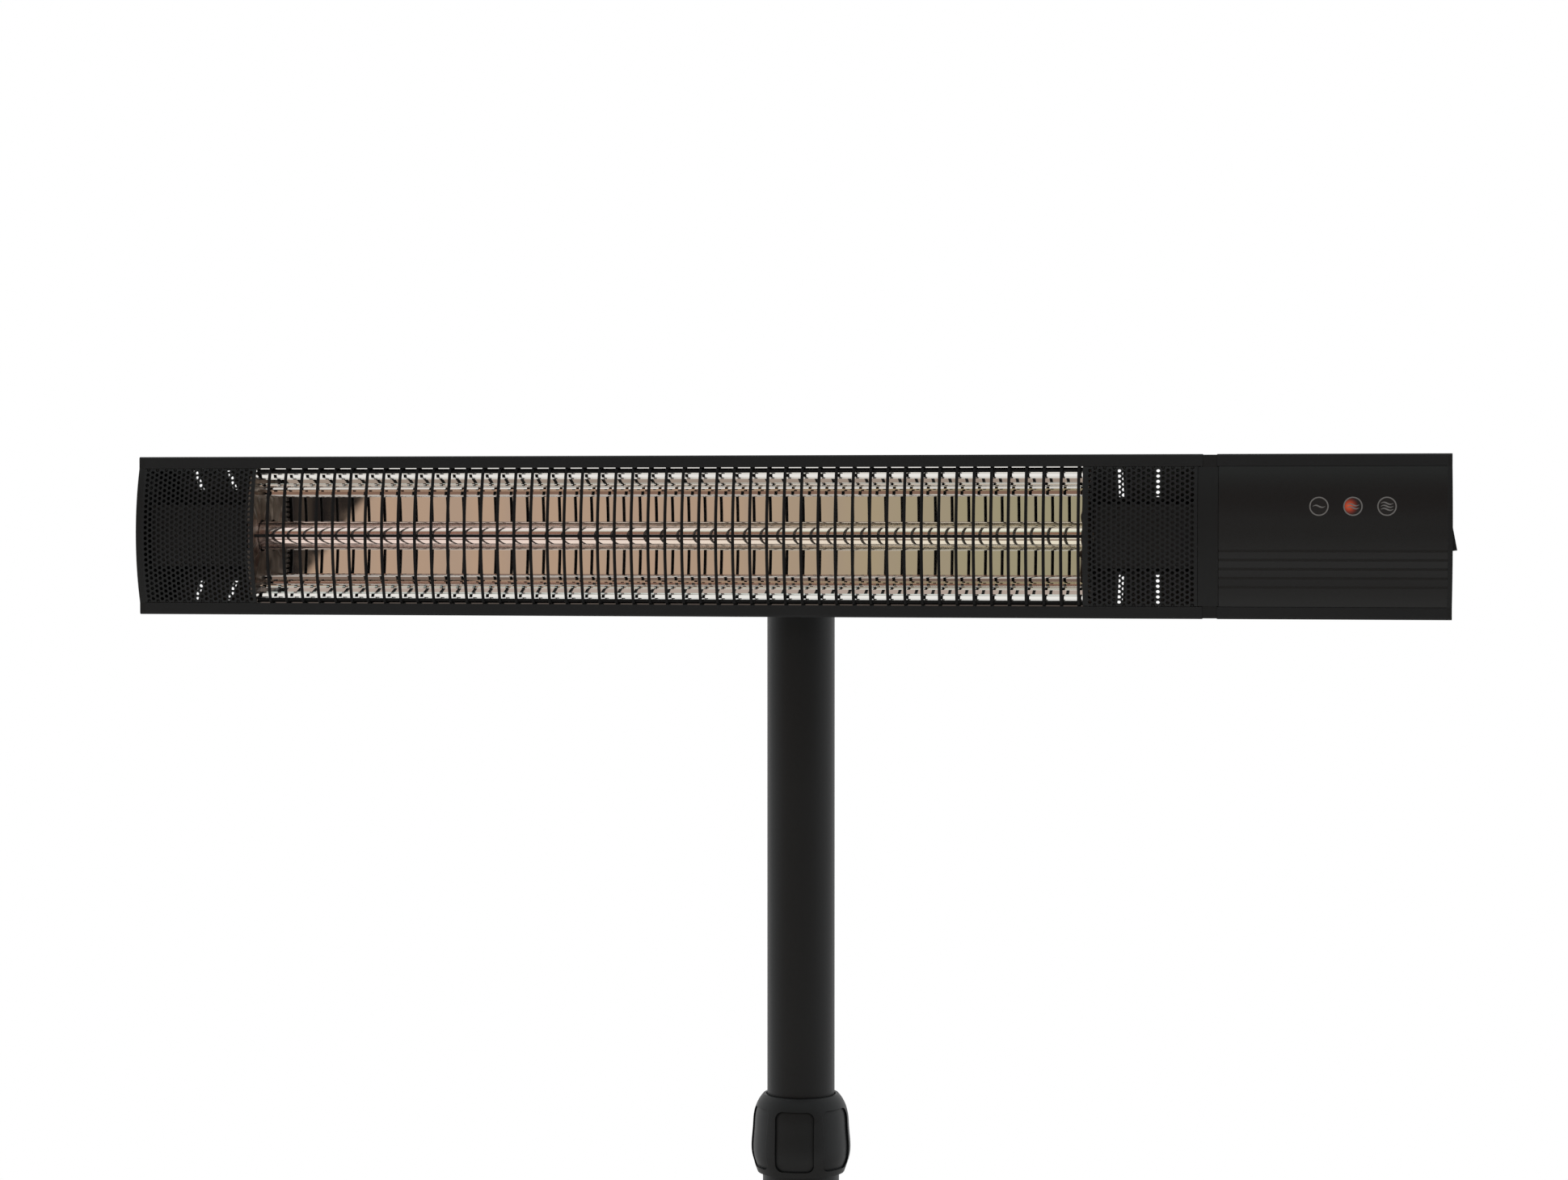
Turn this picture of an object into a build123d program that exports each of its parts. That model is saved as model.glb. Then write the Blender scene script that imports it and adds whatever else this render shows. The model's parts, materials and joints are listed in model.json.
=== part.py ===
"""Free-standing infrared patio heater tower.

Frame: +Z up, the floor at Z = 0, the pole's axis at X = Y = 0, and the heater's long head along X
with its window facing -Y. All sizes are millimetres.

Places in the head are given as (s, u, v): s along X, u backwards from the plane of the two flat
lips of the housing, and v upwards from the head's mid line.
"""
import os
from math import asin, atan2, degrees, hypot, radians, sin, sqrt

from build123d import *

# ---------------------------------------------------------------- driving dimensions: base
BASE_R = 250.0
FOOT_H = 6.0
FOOT_R = 14.0
FOOT_COUNT = 6
FOOT_IN = 35.0             # foot centres in from the rim
BOTTOM_PLATE_T = 1.5
COVER_T = 1.5              # pressed steel dome
COVER_RIM_H = 9.0
COVER_TOP_H = 44.0         # dome top above the bottom plate
COVER_TOP_MARGIN = 10.0    # flat top of the dome beyond the pole socket
COVER_BULGE = 7.0          # how far the dome's slope bows upwards
WEIGHT_GAP = 0.5
SOCKET_FLANGE_EDGE = 17.0  # flange beyond the bolt circle
SOCKET_FLANGE_T = 6.0
SOCKET_SPIGOT_H = 90.0
SOCKET_SPIGOT_T = 4.0
SOCKET_FIT = 0.1
BASE_BOLT_COUNT = 4
BASE_BOLT_OUT = 19.5       # bolt circle beyond the lower tube
BASE_BOLT_R = 4.0
BASE_BOLT_HEAD_R = 7.0
BASE_BOLT_HEAD_H = 4.5
BASE_NUT_R = 7.5
BASE_NUT_H = 6.5

# ---------------------------------------------------------------- driving dimensions: pole
UPPER_R = 22.5
POLE_GAP = 1.5             # between the two tubes, filled by the bushes
TUBE_WALL = 1.5
LOWER_TOP_Z = 1200.0
MAST_BOTTOM_Z = 630.0
BUSH_H = 45.0
BUSH_END_H = 6.0
SLIDE_FIT = 0.05           # radial clearance of every running fit on the pole

# ---------------------------------------------------------------- driving dimensions: twist lock
LOCK_H = 52.0
# depth below the top face, and wall outside the thread's radius
LOCK_OUTLINE = ((0.0, -3.0), (7.0, 1.6), (14.0, 3.6), (22.0, 4.2), (41.0, 4.6), (46.5, 3.0),
                (LOCK_H, 1.0))
LOCK_BELOW_TUBE_TOP = 22.0
LOCK_RECESS = 1.3
LOCK_PANELS = 6
LOCK_PANEL_HALF_W = 13.0
LOCK_PANEL_TOP = 8.0       # below the nut's top face
LOCK_PANEL_BOTTOM = 48.0
LOCK_PANEL_CORNER = 5.0
LOCK_BORE_CLEAR = 0.7
THREAD_WALL = 2.5
THREAD_FIT = 0.1
THREAD_H = 18.0
THREAD_FOOT = 4.0          # nut's inward foot below the thread
COLLET_STEP_H = 2.0
COLLET_FINGER_H = 20.0
COLLET_TIP_T = 2.1
COLLET_CONE_DROP = 2.4     # how much wider the cone is at its foot
COLLET_SLITS = 6
COLLET_SLIT_W = 1.6
COLLET_SPIGOT_H = 30.0
CONE_GAP = 0.35

# ---------------------------------------------------------------- driving dimensions: tilt joint
PIVOT_FORWARD = 12.0       # in front of the pole's axis
PIVOT_Z = 1583.0
PIVOT_ABOVE_TUBE = 28.0
MAST_FLANGE_T = 3.0
MAST_PLUG_H = 45.0
MAST_PLUG_FIT = 0.1
MAST_SCREW_TURNS = (-30.0, 30.0)     # degrees about the pole, from its back
LUG_R = 14.0
LUG_HALF_T = 10.0
LUG_BORE_R = 4.25
WASHER_T = 1.0
WASHER_R = 12.0
EAR_T = 6.0
EAR_GAP = 0.15
EAR_R = 14.0
STUD_R = 4.0
STUD_FIT = 0.05
KNOB_GAP = 0.2
KNOB_HUB_R = 10.0
KNOB_HUB_H = 7.0
KNOB_H = 14.0
KNOB_CORE_R = 13.0
KNOB_LOBES = 5
KNOB_LOBE_R = 5.0
TILT_NUT_R = 7.5
TILT_NUT_H = 6.5
BRACKET_PLATE_T = 4.0
BRACKET_W = 84.0
BRACKET_H = 38.0
BRACKET_SCREW_X = 32.0
BRACKET_SCREW_V = 7.5
BRACKET_SCREW_R = 2.5
BRACKET_SCREW_HEAD_R = 4.7
BRACKET_SCREW_HEAD_H = 3.0
BRACKET_NUT_R = 4.6
BRACKET_NUT_H = 4.0

# ---------------------------------------------------------------- driving dimensions: head
HEAD_ABOVE_PIVOT = 20.0
BACK_BEFORE_PIVOT = 28.0   # head's back in front of the tilt axis
HEAD_H = 102.5
HEAD_DEPTH = 70.0
TOP_FLAT_U = 34.0          # depth of the flat top and bottom
SLANT_END_IN = 6.0         # slanted walls stop this far in front of the back
SLANT_END_V = 25.0
BACK_FLAT_V = 22.0
CORNER_R = 1.5
HEAD_WALL = 1.5
LIP_W = 7.6                # height of each flat lip
BULGE = 7.5                # how far the covers bow in front of the lips
LEFT_CAP_T = 4.0
LEFT_COVER_L = 75.0
WINDOW_L = 535.0
RIGHT_COVER_L = 71.0
JOINT_L = 13.0             # front face of the joint frame
PANEL_L = 139.0
RIGHT_CAP_T = 3.0
JOINT_LAP_LEFT = 3.0       # the heater housing reaches this far over the joint frame
JOINT_LAP_RIGHT = 1.0
JOINT_RECESS = 0.4
JOINT_RING_T = 3.0
JOINT_LUG_L = 4.5
JOINT_LUG_R = 4.5
PLUG_L = 6.0
PLUG_T = 1.5
PLUG_FIT = 0.15
PORT_R = 3.6               # screw ports that run along the housings
PORT_BORE_R = 1.45
PORT_SINK = 0.6            # how far a port melts into the wall
FRONT_PORT_U = 20.0
BACK_PORT_V = 17.0
SCREW_R = 1.4
SCREW_L = 14.0
SCREW_HEAD_R = 3.2
SCREW_HEAD_H = 1.8
SCREW_SINK = 2.0           # depth of the end caps' counterbores
VENT_W = 3.2
VENT_HIGH_V = 43.0
LEFT_VENT_LOW_V = 30.5
RIGHT_VENT_LOW_V = 25.0
VENT_FROM_LEFT = (23.6, 46.6)      # slot centres from the head's left end
VENT_FROM_WINDOW = (21.1, 44.6)    # slot centres from the window's right edge
RIVET_R = 1.6
RIVET_HEAD_R = 3.2
RIVET_HEAD_H = 1.0
RIVET_V = 8.0
HOLE_CLEAR = 0.1

# ---------------------------------------------------------------- driving dimensions: head front
COVER_SHEET_T = 1.2
COVER_GAP = 0.2
COVER_LAP = 4.5            # tucked behind each lip
GUARD_WIRE_R = 1.0
GUARD_FIRST = 9.3
GUARD_PITCH = 10.9
GUARD_EDGE_IN = 2.2        # outer rails inside the lips' edges
GUARD_TAIL_LAP = 1.6       # the wires' tails end this far behind each lip
GUARD_WELD = 0.3
GUARD_END_GAP = 0.3
REFLECTOR_T = 0.8
REFLECTOR_U = 36.4
REFLECTOR_PAST_WINDOW = 3.8    # mirror beyond each end of the window
REFLECTOR_EDGE_U = 3.7
REFLECTOR_EDGE_OUT = 2.0   # mirror's edge behind each lip
# each fold's depth in front of the flat back, and its height inside the mirror's edge
REFLECTOR_FOLDS = ((0.0, 19.6), (22.5, 19.55), (21.2, 14.15), (27.15, 13.5), (27.9, 12.6), (31.1, 8.75),
                   (31.4, 5.3))
REFLECTOR_SEAT_GAP = 0.15
END_PLATE_HOLE_R = 11.0
END_PLATE_BACK_U = 40.0
END_PLATE_BACK_V = 37.0
END_PLATE_SHOULDER_U = 30.0

# ---------------------------------------------------------------- driving dimensions: lamp
TUBE_R = 9.25
TUBE_GLASS_T = 1.2
TUBE_U = 24.7
TUBE_PAST_WINDOW = 25.0
RIBBON_W = 9.0
RIBBON_T = 0.5
LAMP_CAP_SIZE = 24.0
LAMP_CAP_L = 22.0
LAMP_CAP_BORE_L = 14.0
LAMP_CAP_FIT = 0.2
HOLDER_T = 1.2
HOLDER_U = 9.5             # front of the folded guard round each ceramic block
HOLDER_HALF_H = 20.0
HOLDER_MIRROR_GAP = 1.5
HOLDER_END_GAP = 1.0
HOLDER_FOOT_V = 11.0
HOLDER_FOOT_L = 12.0
LEAD_R = 1.5
LEAD_BEND = 5.0
LEAD_OUT = 12.0
LEAD_FROM_BACK = 14.0
LEAD_V = 18.0
LEAD_HOLE_R = 4.0

# ---------------------------------------------------------------- driving dimensions: control box
PANEL_T = 1.8
GROOVES = 5
GROOVE_FIRST_V = -8.8
GROOVE_PITCH = 5.6
GROOVE_W = 1.4
GROOVE_DEPTH = 0.5
ICON_FIRST_S = 61.2        # first indicator's centre from the panel's left edge
ICON_PITCH = 20.6
ICON_COUNT = 3
ICON_V = 18.7
ICON_R = 5.8
ICON_FIT = 0.05
BOARD_U = 10.0
BOARD_T = 1.6
BOARD_LEFT = 8.0           # from the panel's left edge
BOARD_RIGHT = 28.0         # from the panel's right edge
BOARD_LOW_V = -30.0
BOARD_HIGH_V = 36.0
BOSS_R = 3.5
BOSS_IN = 5.0
BOARD_SCREW_R = 1.25
BOARD_SCREW_L = 8.0
BOARD_SCREW_HEAD_R = 2.8
BOARD_SCREW_HEAD_H = 2.2
LED_R = 2.5
LED_GAP = 0.7
RELAY_L = 19.0
RELAY_H = 15.5
RELAY_D = 15.0
RELAY_PITCH = 24.0
RELAY_FIRST = 14.0
RELAY_V = 2.0
TRANSFORMER_L = 30.0
TRANSFORMER_H = 22.0
TRANSFORMER_D = 19.0
TRANSFORMER_AT = 16.0
TRANSFORMER_V = -25.0
CAPACITOR_R = 5.0
CAPACITOR_D = 16.0
CAPACITOR_AT = 60.0
CAPACITOR_V = -14.0
TIP_SWITCH_SIZE = 13.0
TIP_SWITCH_AT = 72.0
TIP_SWITCH_V = -2.0
RECEIVER_W = 7.0
RECEIVER_H = 8.0
RECEIVER_AT = 8.0
RECEIVER_V = 22.0
TERMINAL_L = 30.0
TERMINAL_H = 16.0
TERMINAL_D = 14.0
TERMINAL_AT = 18.0         # from the panel's left edge
CUTOUT_R = 8.0
CUTOUT_L = 5.0
CUTOUT_V = -18.0
CUTOUT_BEFORE_LEADS = 16.0
GLAND_FROM_RIGHT = 47.0    # from the panel's right edge
GLAND_THREAD_R = 8.0
GLAND_BORE_R = 4.0
GLAND_HEX_R = 11.0
GLAND_HEX_L = 6.0
GLAND_DOME_L = 13.0
GLAND_NUT_L = 5.0

# ---------------------------------------------------------------- driving dimensions: rocker switch
SWITCH_U = 16.0
SWITCH_BODY_DEPTH = 14.0
SWITCH_WALL = 1.0
SWITCH_FLOOR = 2.0
BEZEL_T = 1.6
BEZEL_LAP = 1.1
ROCKER_HALF_L = 9.55
ROCKER_HALF_W = 6.2
ROCKER_SIDE_GAP = 0.3
ROCKER_HEIGHT = 4.8        # pivot to the rocker's face
ROCKER_THROW = 21.6        # degrees from one side to the other
ROCKER_SKIRT = 3.0         # below the pivot
ROCKER_FOOT_HALF_L = 4.5
ROCKER_PIN_R = 1.5
ROCKER_PIN_OUT = 0.9
ROCKER_PIN_FIT = 0.05
BLADE_W = 6.3
BLADE_T = 0.8
BLADE_L = 8.0
BLADE_HALF_GAP = 5.0

# ---------------------------------------------------------------- places worked out from the above
LOWER_BORE_R = UPPER_R + POLE_GAP
LOWER_R = LOWER_BORE_R + TUBE_WALL
UPPER_BORE_R = UPPER_R - TUBE_WALL
THREAD_R = LOWER_R + THREAD_WALL
COLLET_TOP_R = UPPER_R + COLLET_TIP_T
BASE_BOLT_CIRCLE_R = LOWER_R + BASE_BOLT_OUT
SOCKET_FLANGE_R = BASE_BOLT_CIRCLE_R + SOCKET_FLANGE_EDGE
COVER_TOP_R = SOCKET_FLANGE_R + COVER_TOP_MARGIN
FOOT_CIRCLE_R = BASE_R - FOOT_IN
PLATE_TOP_Z = FOOT_H + BOTTOM_PLATE_T
COVER_TOP_Z = PLATE_TOP_Z + COVER_TOP_H
LOWER_BOTTOM_Z = COVER_TOP_Z + SOCKET_FLANGE_T
UPPER_TOP_Z = PIVOT_Z - PIVOT_ABOVE_TUBE
LOCK_BOTTOM_Z = LOWER_TOP_Z - LOCK_BELOW_TUBE_TOP
LOCK_TOP_Z = LOCK_BOTTOM_Z + LOCK_H
PIVOT_Y = -PIVOT_FORWARD
LIP_Y = PIVOT_Y - BACK_BEFORE_PIVOT - HEAD_DEPTH
HEAD_Z = PIVOT_Z + HEAD_ABOVE_PIVOT
HALF_H = HEAD_H / 2
LIP_V = HALF_H - LIP_W
GUARD_EDGE_V = LIP_V - GUARD_EDGE_IN
REFLECTOR_EDGE_V = LIP_V + REFLECTOR_EDGE_OUT
SLANT_END_U = HEAD_DEPTH - SLANT_END_IN
LEAD_U = HEAD_DEPTH - LEAD_FROM_BACK
CUTOUT_U = LEAD_U - CUTOUT_BEFORE_LEADS
BACK_Y = LIP_Y + HEAD_DEPTH
EAR_IN_X = LUG_HALF_T + WASHER_T + EAR_GAP
EAR_OUT_X = EAR_IN_X + EAR_T
INNER_BACK_U = HEAD_DEPTH - HEAD_WALL

HEAD_L = LEFT_CAP_T + LEFT_COVER_L + WINDOW_L + RIGHT_COVER_L + JOINT_L + PANEL_L + RIGHT_CAP_T
HEAD_LEFT = -HEAD_L / 2
COVER_LEFT = HEAD_LEFT + LEFT_CAP_T
WINDOW_LEFT = COVER_LEFT + LEFT_COVER_L
WINDOW_RIGHT = WINDOW_LEFT + WINDOW_L
JOINT_FACE_LEFT = WINDOW_RIGHT + RIGHT_COVER_L
JOINT_LEFT = JOINT_FACE_LEFT + JOINT_LAP_LEFT
PANEL_LEFT = JOINT_FACE_LEFT + JOINT_L
JOINT_RIGHT = PANEL_LEFT - JOINT_LAP_RIGHT
PANEL_RIGHT = PANEL_LEFT + PANEL_L
HEAD_RIGHT = PANEL_RIGHT + RIGHT_CAP_T

ARC_R = (LIP_V**2 + BULGE**2) / (2 * BULGE)
ARC_U = ARC_R - BULGE      # centre of the front curve
PORTS = [(FRONT_PORT_U, side * (HALF_H - HEAD_WALL - PORT_R + PORT_SINK)) for side in (1, -1)]
PORTS += [(INNER_BACK_U - PORT_R + PORT_SINK, side * BACK_PORT_V) for side in (1, -1)]
MIRROR_LEFT = WINDOW_LEFT - REFLECTOR_PAST_WINDOW
MIRROR_RIGHT = WINDOW_RIGHT + REFLECTOR_PAST_WINDOW
TUBE_LEFT = WINDOW_LEFT - TUBE_PAST_WINDOW
TUBE_RIGHT = WINDOW_RIGHT + TUBE_PAST_WINDOW
ICON_S = [PANEL_LEFT + ICON_FIRST_S + ICON_PITCH * i for i in range(ICON_COUNT)]
BOARD_S = PANEL_LEFT + BOARD_LEFT
BOARD_L = PANEL_L - BOARD_LEFT - BOARD_RIGHT
GLAND_S = PANEL_RIGHT - GLAND_FROM_RIGHT
BOARD_BACK_U = BOARD_U + BOARD_T
BOSS_PLACES = [(s, v) for s in (BOARD_S + BOSS_IN, BOARD_S + BOARD_L - BOSS_IN)
               for v in (BOARD_LOW_V + BOSS_IN, BOARD_HIGH_V - BOSS_IN)]
ROCKER_REACH = hypot(ROCKER_HEIGHT, ROCKER_HALF_L)
ROCKER_TILT = ROCKER_THROW / 2
ROCKER_REST_ANGLE = atan2(ROCKER_HEIGHT, ROCKER_HALF_L) - radians(ROCKER_TILT)
ROCKER_PIVOT_S = HEAD_RIGHT - ROCKER_REACH * sin(ROCKER_REST_ANGLE)
BEZEL_HALF_H = ROCKER_REACH + ROCKER_SIDE_GAP
BEZEL_HALF_W = ROCKER_HALF_W + ROCKER_SIDE_GAP


# ---------------------------------------------------------------- helpers
def head_plane(s):
    """A plane across the head at s, with local x = u and local y = v."""
    return Plane(origin=(s, LIP_Y, HEAD_Z), x_dir=(0, 1, 0), z_dir=(1, 0, 0))


def along_head(section, s_from, s_to):
    """A (u, v) section run along the head."""
    return extrude(head_plane(s_from) * section, s_to - s_from)


def head_point(s, u, v):
    return Vector(s, LIP_Y + u, HEAD_Z + v)


def rod(start, end, radius):
    """A round rod between two points."""
    run = Vector(end) - Vector(start)
    foot = Align.CENTER, Align.CENTER, Align.MIN
    return Plane(origin=start, z_dir=run) * Cylinder(radius, run.length, align=foot)


def depth_rod(s, v, u_from, u_to, radius):
    """A round rod that points backwards through the head."""
    return rod(head_point(s, u_from, v), head_point(s, u_to, v), radius)


def head_box(s_span, u_span, v_span):
    size = [high - low for low, high in (s_span, u_span, v_span)]
    middle = [(high + low) / 2 for low, high in (s_span, u_span, v_span)]
    return Pos(*head_point(*middle)) * Box(*size)


def rectangle(u_span, v_span):
    """A rectangle in a (u, v) section."""
    place = Pos((u_span[0] + u_span[1]) / 2, (v_span[0] + v_span[1]) / 2)
    return place * Rectangle(u_span[1] - u_span[0], v_span[1] - v_span[0])


def ring(inner_r, outer_r, z_from, z_to):
    """A round ring about the pole."""
    section = Circle(outer_r) - Circle(inner_r)
    return extrude(Plane.XY.offset(z_from) * section, z_to - z_from)


def disc(radius, z_from, z_to):
    """A solid round disc about the pole's axis."""
    return rod((0, 0, z_from), (0, 0, z_to), radius)


def round_pole(count, radius, first=0.0):
    """Evenly spaced places about the pole's axis."""
    return list(PolarLocations(radius, count, start_angle=first, rotate=False))


def group(pieces):
    """Separate solids that share a node."""
    return Compound([solid for piece in pieces for solid in piece.solids()])


def hexagon(flat_r, height):
    return extrude(RegularPolygon(flat_r, 6, major_radius=False), height)


# ---------------------------------------------------------------- base
def dome(inset):
    """The solid dome of the base, with its outside moved inwards by the inset."""
    rim_r = BASE_R - inset
    rim_z = PLATE_TOP_Z + COVER_RIM_H - inset / 2
    top_z = COVER_TOP_Z - inset
    middle = ((rim_r + COVER_TOP_R) / 2, (rim_z + top_z) / 2 + COVER_BULGE)
    section = [Line((0, PLATE_TOP_Z), (rim_r, PLATE_TOP_Z)),
               Line((rim_r, PLATE_TOP_Z), (rim_r, rim_z)),
               ThreePointArc((rim_r, rim_z), middle, (COVER_TOP_R, top_z)),
               Line((COVER_TOP_R, top_z), (0, top_z)),
               Line((0, top_z), (0, PLATE_TOP_Z))]
    return revolve(Plane.XZ * make_face(section), Axis.Z)


def base_bolt_places():
    return round_pole(BASE_BOLT_COUNT, BASE_BOLT_CIRCLE_R, first=45)


def base_bolt_holes():
    hole = Cylinder(BASE_BOLT_R + HOLE_CLEAR, 4 * COVER_TOP_Z)
    return [place * hole for place in base_bolt_places()]


def base_cover():
    return dome(0) - dome(COVER_T) - base_bolt_holes()


def base_weight():
    pocket = Pos(0, 0, PLATE_TOP_Z) * hexagon(BASE_NUT_R + HOLE_CLEAR, BASE_NUT_H)
    pockets = [place * pocket for place in base_bolt_places()]
    return dome(COVER_T + WEIGHT_GAP) - base_bolt_holes() - pockets


def bottom_plate():
    return disc(BASE_R, FOOT_H, PLATE_TOP_Z)


def rubber_feet():
    foot = disc(FOOT_R, 0, FOOT_H)
    foot = chamfer(foot.edges().group_by(Axis.Z)[0], FOOT_H / 4)
    return group(place * foot for place in round_pole(FOOT_COUNT, FOOT_CIRCLE_R, first=30))


def pole_socket():
    """Cast flange with the hollow spigot that the lower tube is slid over."""
    spigot_r = LOWER_BORE_R - SOCKET_FIT
    flange = disc(SOCKET_FLANGE_R, COVER_TOP_Z, LOWER_BOTTOM_Z)
    flange = chamfer(flange.edges().group_by(Axis.Z)[-1], SOCKET_FLANGE_T / 4)
    spigot = ring(spigot_r - SOCKET_SPIGOT_T, spigot_r, LOWER_BOTTOM_Z,
                  LOWER_BOTTOM_Z + SOCKET_SPIGOT_H)
    return flange + spigot - base_bolt_holes()


def base_bolts():
    shank = disc(BASE_BOLT_R, PLATE_TOP_Z, LOWER_BOTTOM_Z)
    head = disc(BASE_BOLT_HEAD_R, LOWER_BOTTOM_Z, LOWER_BOTTOM_Z + BASE_BOLT_HEAD_H)
    head = fillet(head.edges().group_by(Axis.Z)[-1], BASE_BOLT_HEAD_H / 2)
    return group(place * (shank + head) for place in base_bolt_places())


def base_nuts():
    nut = Pos(0, 0, PLATE_TOP_Z) * hexagon(BASE_NUT_R, BASE_NUT_H)
    nut -= Cylinder(BASE_BOLT_R + HOLE_CLEAR / 2, 4 * COVER_TOP_Z)
    return group(place * nut for place in base_bolt_places())


# ---------------------------------------------------------------- pole and twist lock
def lower_tube():
    return ring(LOWER_BORE_R, LOWER_R, LOWER_BOTTOM_Z, LOWER_TOP_Z)


def upper_tube():
    return ring(UPPER_BORE_R, UPPER_R, MAST_BOTTOM_Z, UPPER_TOP_Z) - mast_screw_holes()


def glide_bush():
    """Plastic foot of the upper tube that slides in the lower one."""
    outer_r = LOWER_BORE_R - SLIDE_FIT
    sleeve = ring(UPPER_R, outer_r, MAST_BOTTOM_Z, MAST_BOTTOM_Z + BUSH_H)
    end = ring(UPPER_BORE_R, outer_r, MAST_BOTTOM_Z - BUSH_END_H, MAST_BOTTOM_Z)
    return sleeve + end


def threaded_sleeve():
    """Plastic thread, drawn as a plain cylinder, fixed round the top of the lower tube."""
    return ring(LOWER_R, THREAD_R, LOWER_TOP_Z - THREAD_H, LOWER_TOP_Z)


def collet():
    """Slit ring that the nut squeezes onto the upper tube."""
    bore_r = UPPER_R + SLIDE_FIT
    step_z = LOWER_TOP_Z + COLLET_STEP_H
    top_z = step_z + COLLET_FINGER_H
    spigot = ring(bore_r, LOWER_BORE_R - SLIDE_FIT, LOWER_TOP_Z - COLLET_SPIGOT_H, LOWER_TOP_Z)
    step = ring(bore_r, THREAD_R - CONE_GAP, LOWER_TOP_Z, step_z)
    cone = Pos(0, 0, (step_z + top_z) / 2) * Cone(COLLET_TOP_R + COLLET_CONE_DROP, COLLET_TOP_R,
                                                  COLLET_FINGER_H)
    fingers = cone - Cylinder(bore_r, 4 * top_z)
    for turn in range(COLLET_SLITS):
        slit = Pos(UPPER_R + THREAD_R / 4, 0, top_z) * Box(THREAD_R / 2, COLLET_SLIT_W,
                                                           2 * COLLET_FINGER_H - 2 * COLLET_STEP_H)
        fingers -= Rot(0, 0, turn * 360 / COLLET_SLITS) * slit
    return spigot + step + fingers


def lock_shape(inset):
    """Outside of the twist lock, moved inwards by the inset."""
    points = [(THREAD_R + wall - inset, LOCK_TOP_Z - depth) for depth, wall in LOCK_OUTLINE]
    side = Spline(*points)
    section = [Line((0, LOCK_TOP_Z), points[0]), side, Line(points[-1], (0, LOCK_BOTTOM_Z)),
               Line((0, LOCK_BOTTOM_Z), (0, LOCK_TOP_Z))]
    return revolve(Plane.XZ * make_face(section), Axis.Z)


def lock_panel():
    """Cutter for one sunk panel of the twist lock, on the -Y side."""
    height = LOCK_PANEL_BOTTOM - LOCK_PANEL_TOP
    middle_z = LOCK_TOP_Z - (LOCK_PANEL_TOP + LOCK_PANEL_BOTTOM) / 2
    face = RectangleRounded(2 * LOCK_PANEL_HALF_W, height, LOCK_PANEL_CORNER)
    plane = Plane(origin=(0, 0, middle_z), x_dir=(1, 0, 0), z_dir=(0, -1, 0))
    return extrude(plane * face, 2 * LOWER_R) - lock_shape(LOCK_RECESS)


def lock_bore():
    """Inside of the twist lock: foot, thread, cone and throat."""
    cone_low_z = LOWER_TOP_Z + COLLET_STEP_H
    cone_high_z = cone_low_z + COLLET_FINGER_H
    thread_r = THREAD_R + THREAD_FIT
    foot = disc(LOWER_R + LOCK_BORE_CLEAR, LOCK_BOTTOM_Z - 1, LOCK_BOTTOM_Z + THREAD_FOOT)
    thread = disc(thread_r, LOCK_BOTTOM_Z + THREAD_FOOT - CONE_GAP, cone_low_z + CONE_GAP)
    low_r = COLLET_TOP_R + COLLET_CONE_DROP + CONE_GAP
    cone = Pos(0, 0, (cone_low_z + cone_high_z) / 2 + CONE_GAP) * Cone(
        low_r, COLLET_TOP_R + CONE_GAP, COLLET_FINGER_H)
    throat = disc(UPPER_R + LOCK_BORE_CLEAR, cone_high_z, LOCK_TOP_Z + 1)
    return foot + thread + cone + throat


def lock_nut():
    panel = lock_panel()
    panels = [Rot(0, 0, turn * 360 / LOCK_PANELS) * panel for turn in range(LOCK_PANELS)]
    return lock_shape(0) - panels - lock_bore()


# ---------------------------------------------------------------- tilt joint
def pivot_point(x):
    return Vector(x, PIVOT_Y, PIVOT_Z)


def pivot_rod(x_from, x_to, radius):
    """A round rod on the tilt axis."""
    return rod(pivot_point(x_from), pivot_point(x_to), radius)


def mast_head():
    """Cast plug of the upper tube, with its collar and the lug of the tilt joint."""
    flange_top_z = UPPER_TOP_Z + MAST_FLANGE_T
    plug = disc(UPPER_BORE_R - MAST_PLUG_FIT, UPPER_TOP_Z - MAST_PLUG_H, UPPER_TOP_Z)
    flange = disc(UPPER_R, UPPER_TOP_Z, flange_top_z)
    eye = pivot_rod(-LUG_HALF_T, LUG_HALF_T, LUG_R)
    neck_front, neck_back = -UPPER_R + LUG_HALF_T / 2, LUG_HALF_T
    web = make_face(Polyline((PIVOT_Y - LUG_R, PIVOT_Z), (neck_front, flange_top_z),
                             (neck_back, flange_top_z), (PIVOT_Y + LUG_R, PIVOT_Z),
                             close=True))
    lug = extrude(Plane.YZ.offset(-LUG_HALF_T) * web, 2 * LUG_HALF_T)
    bore = pivot_rod(-LUG_HALF_T - 1, LUG_HALF_T + 1, LUG_BORE_R)
    return plug + flange + eye + lug - bore - mast_screw_holes()


def mast_screw_rods(radius, r_from, r_to):
    """Rods through the back of the tube wall that hold the plug."""
    z = UPPER_TOP_Z - MAST_PLUG_H / 2
    back_rod = rod((0, r_from, z), (0, r_to, z), radius)
    return [back_rod.rotate(Axis.Z, turn) for turn in MAST_SCREW_TURNS]


def mast_screw_holes():
    return mast_screw_rods(SCREW_R + HOLE_CLEAR, UPPER_R / 2, 2 * UPPER_R)


def mast_screws():
    shanks = mast_screw_rods(SCREW_R, UPPER_R / 2, UPPER_R)
    heads = mast_screw_rods(SCREW_HEAD_R, UPPER_R, UPPER_R + SCREW_HEAD_H)
    return group(shank + head for shank, head in zip(shanks, heads))


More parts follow.
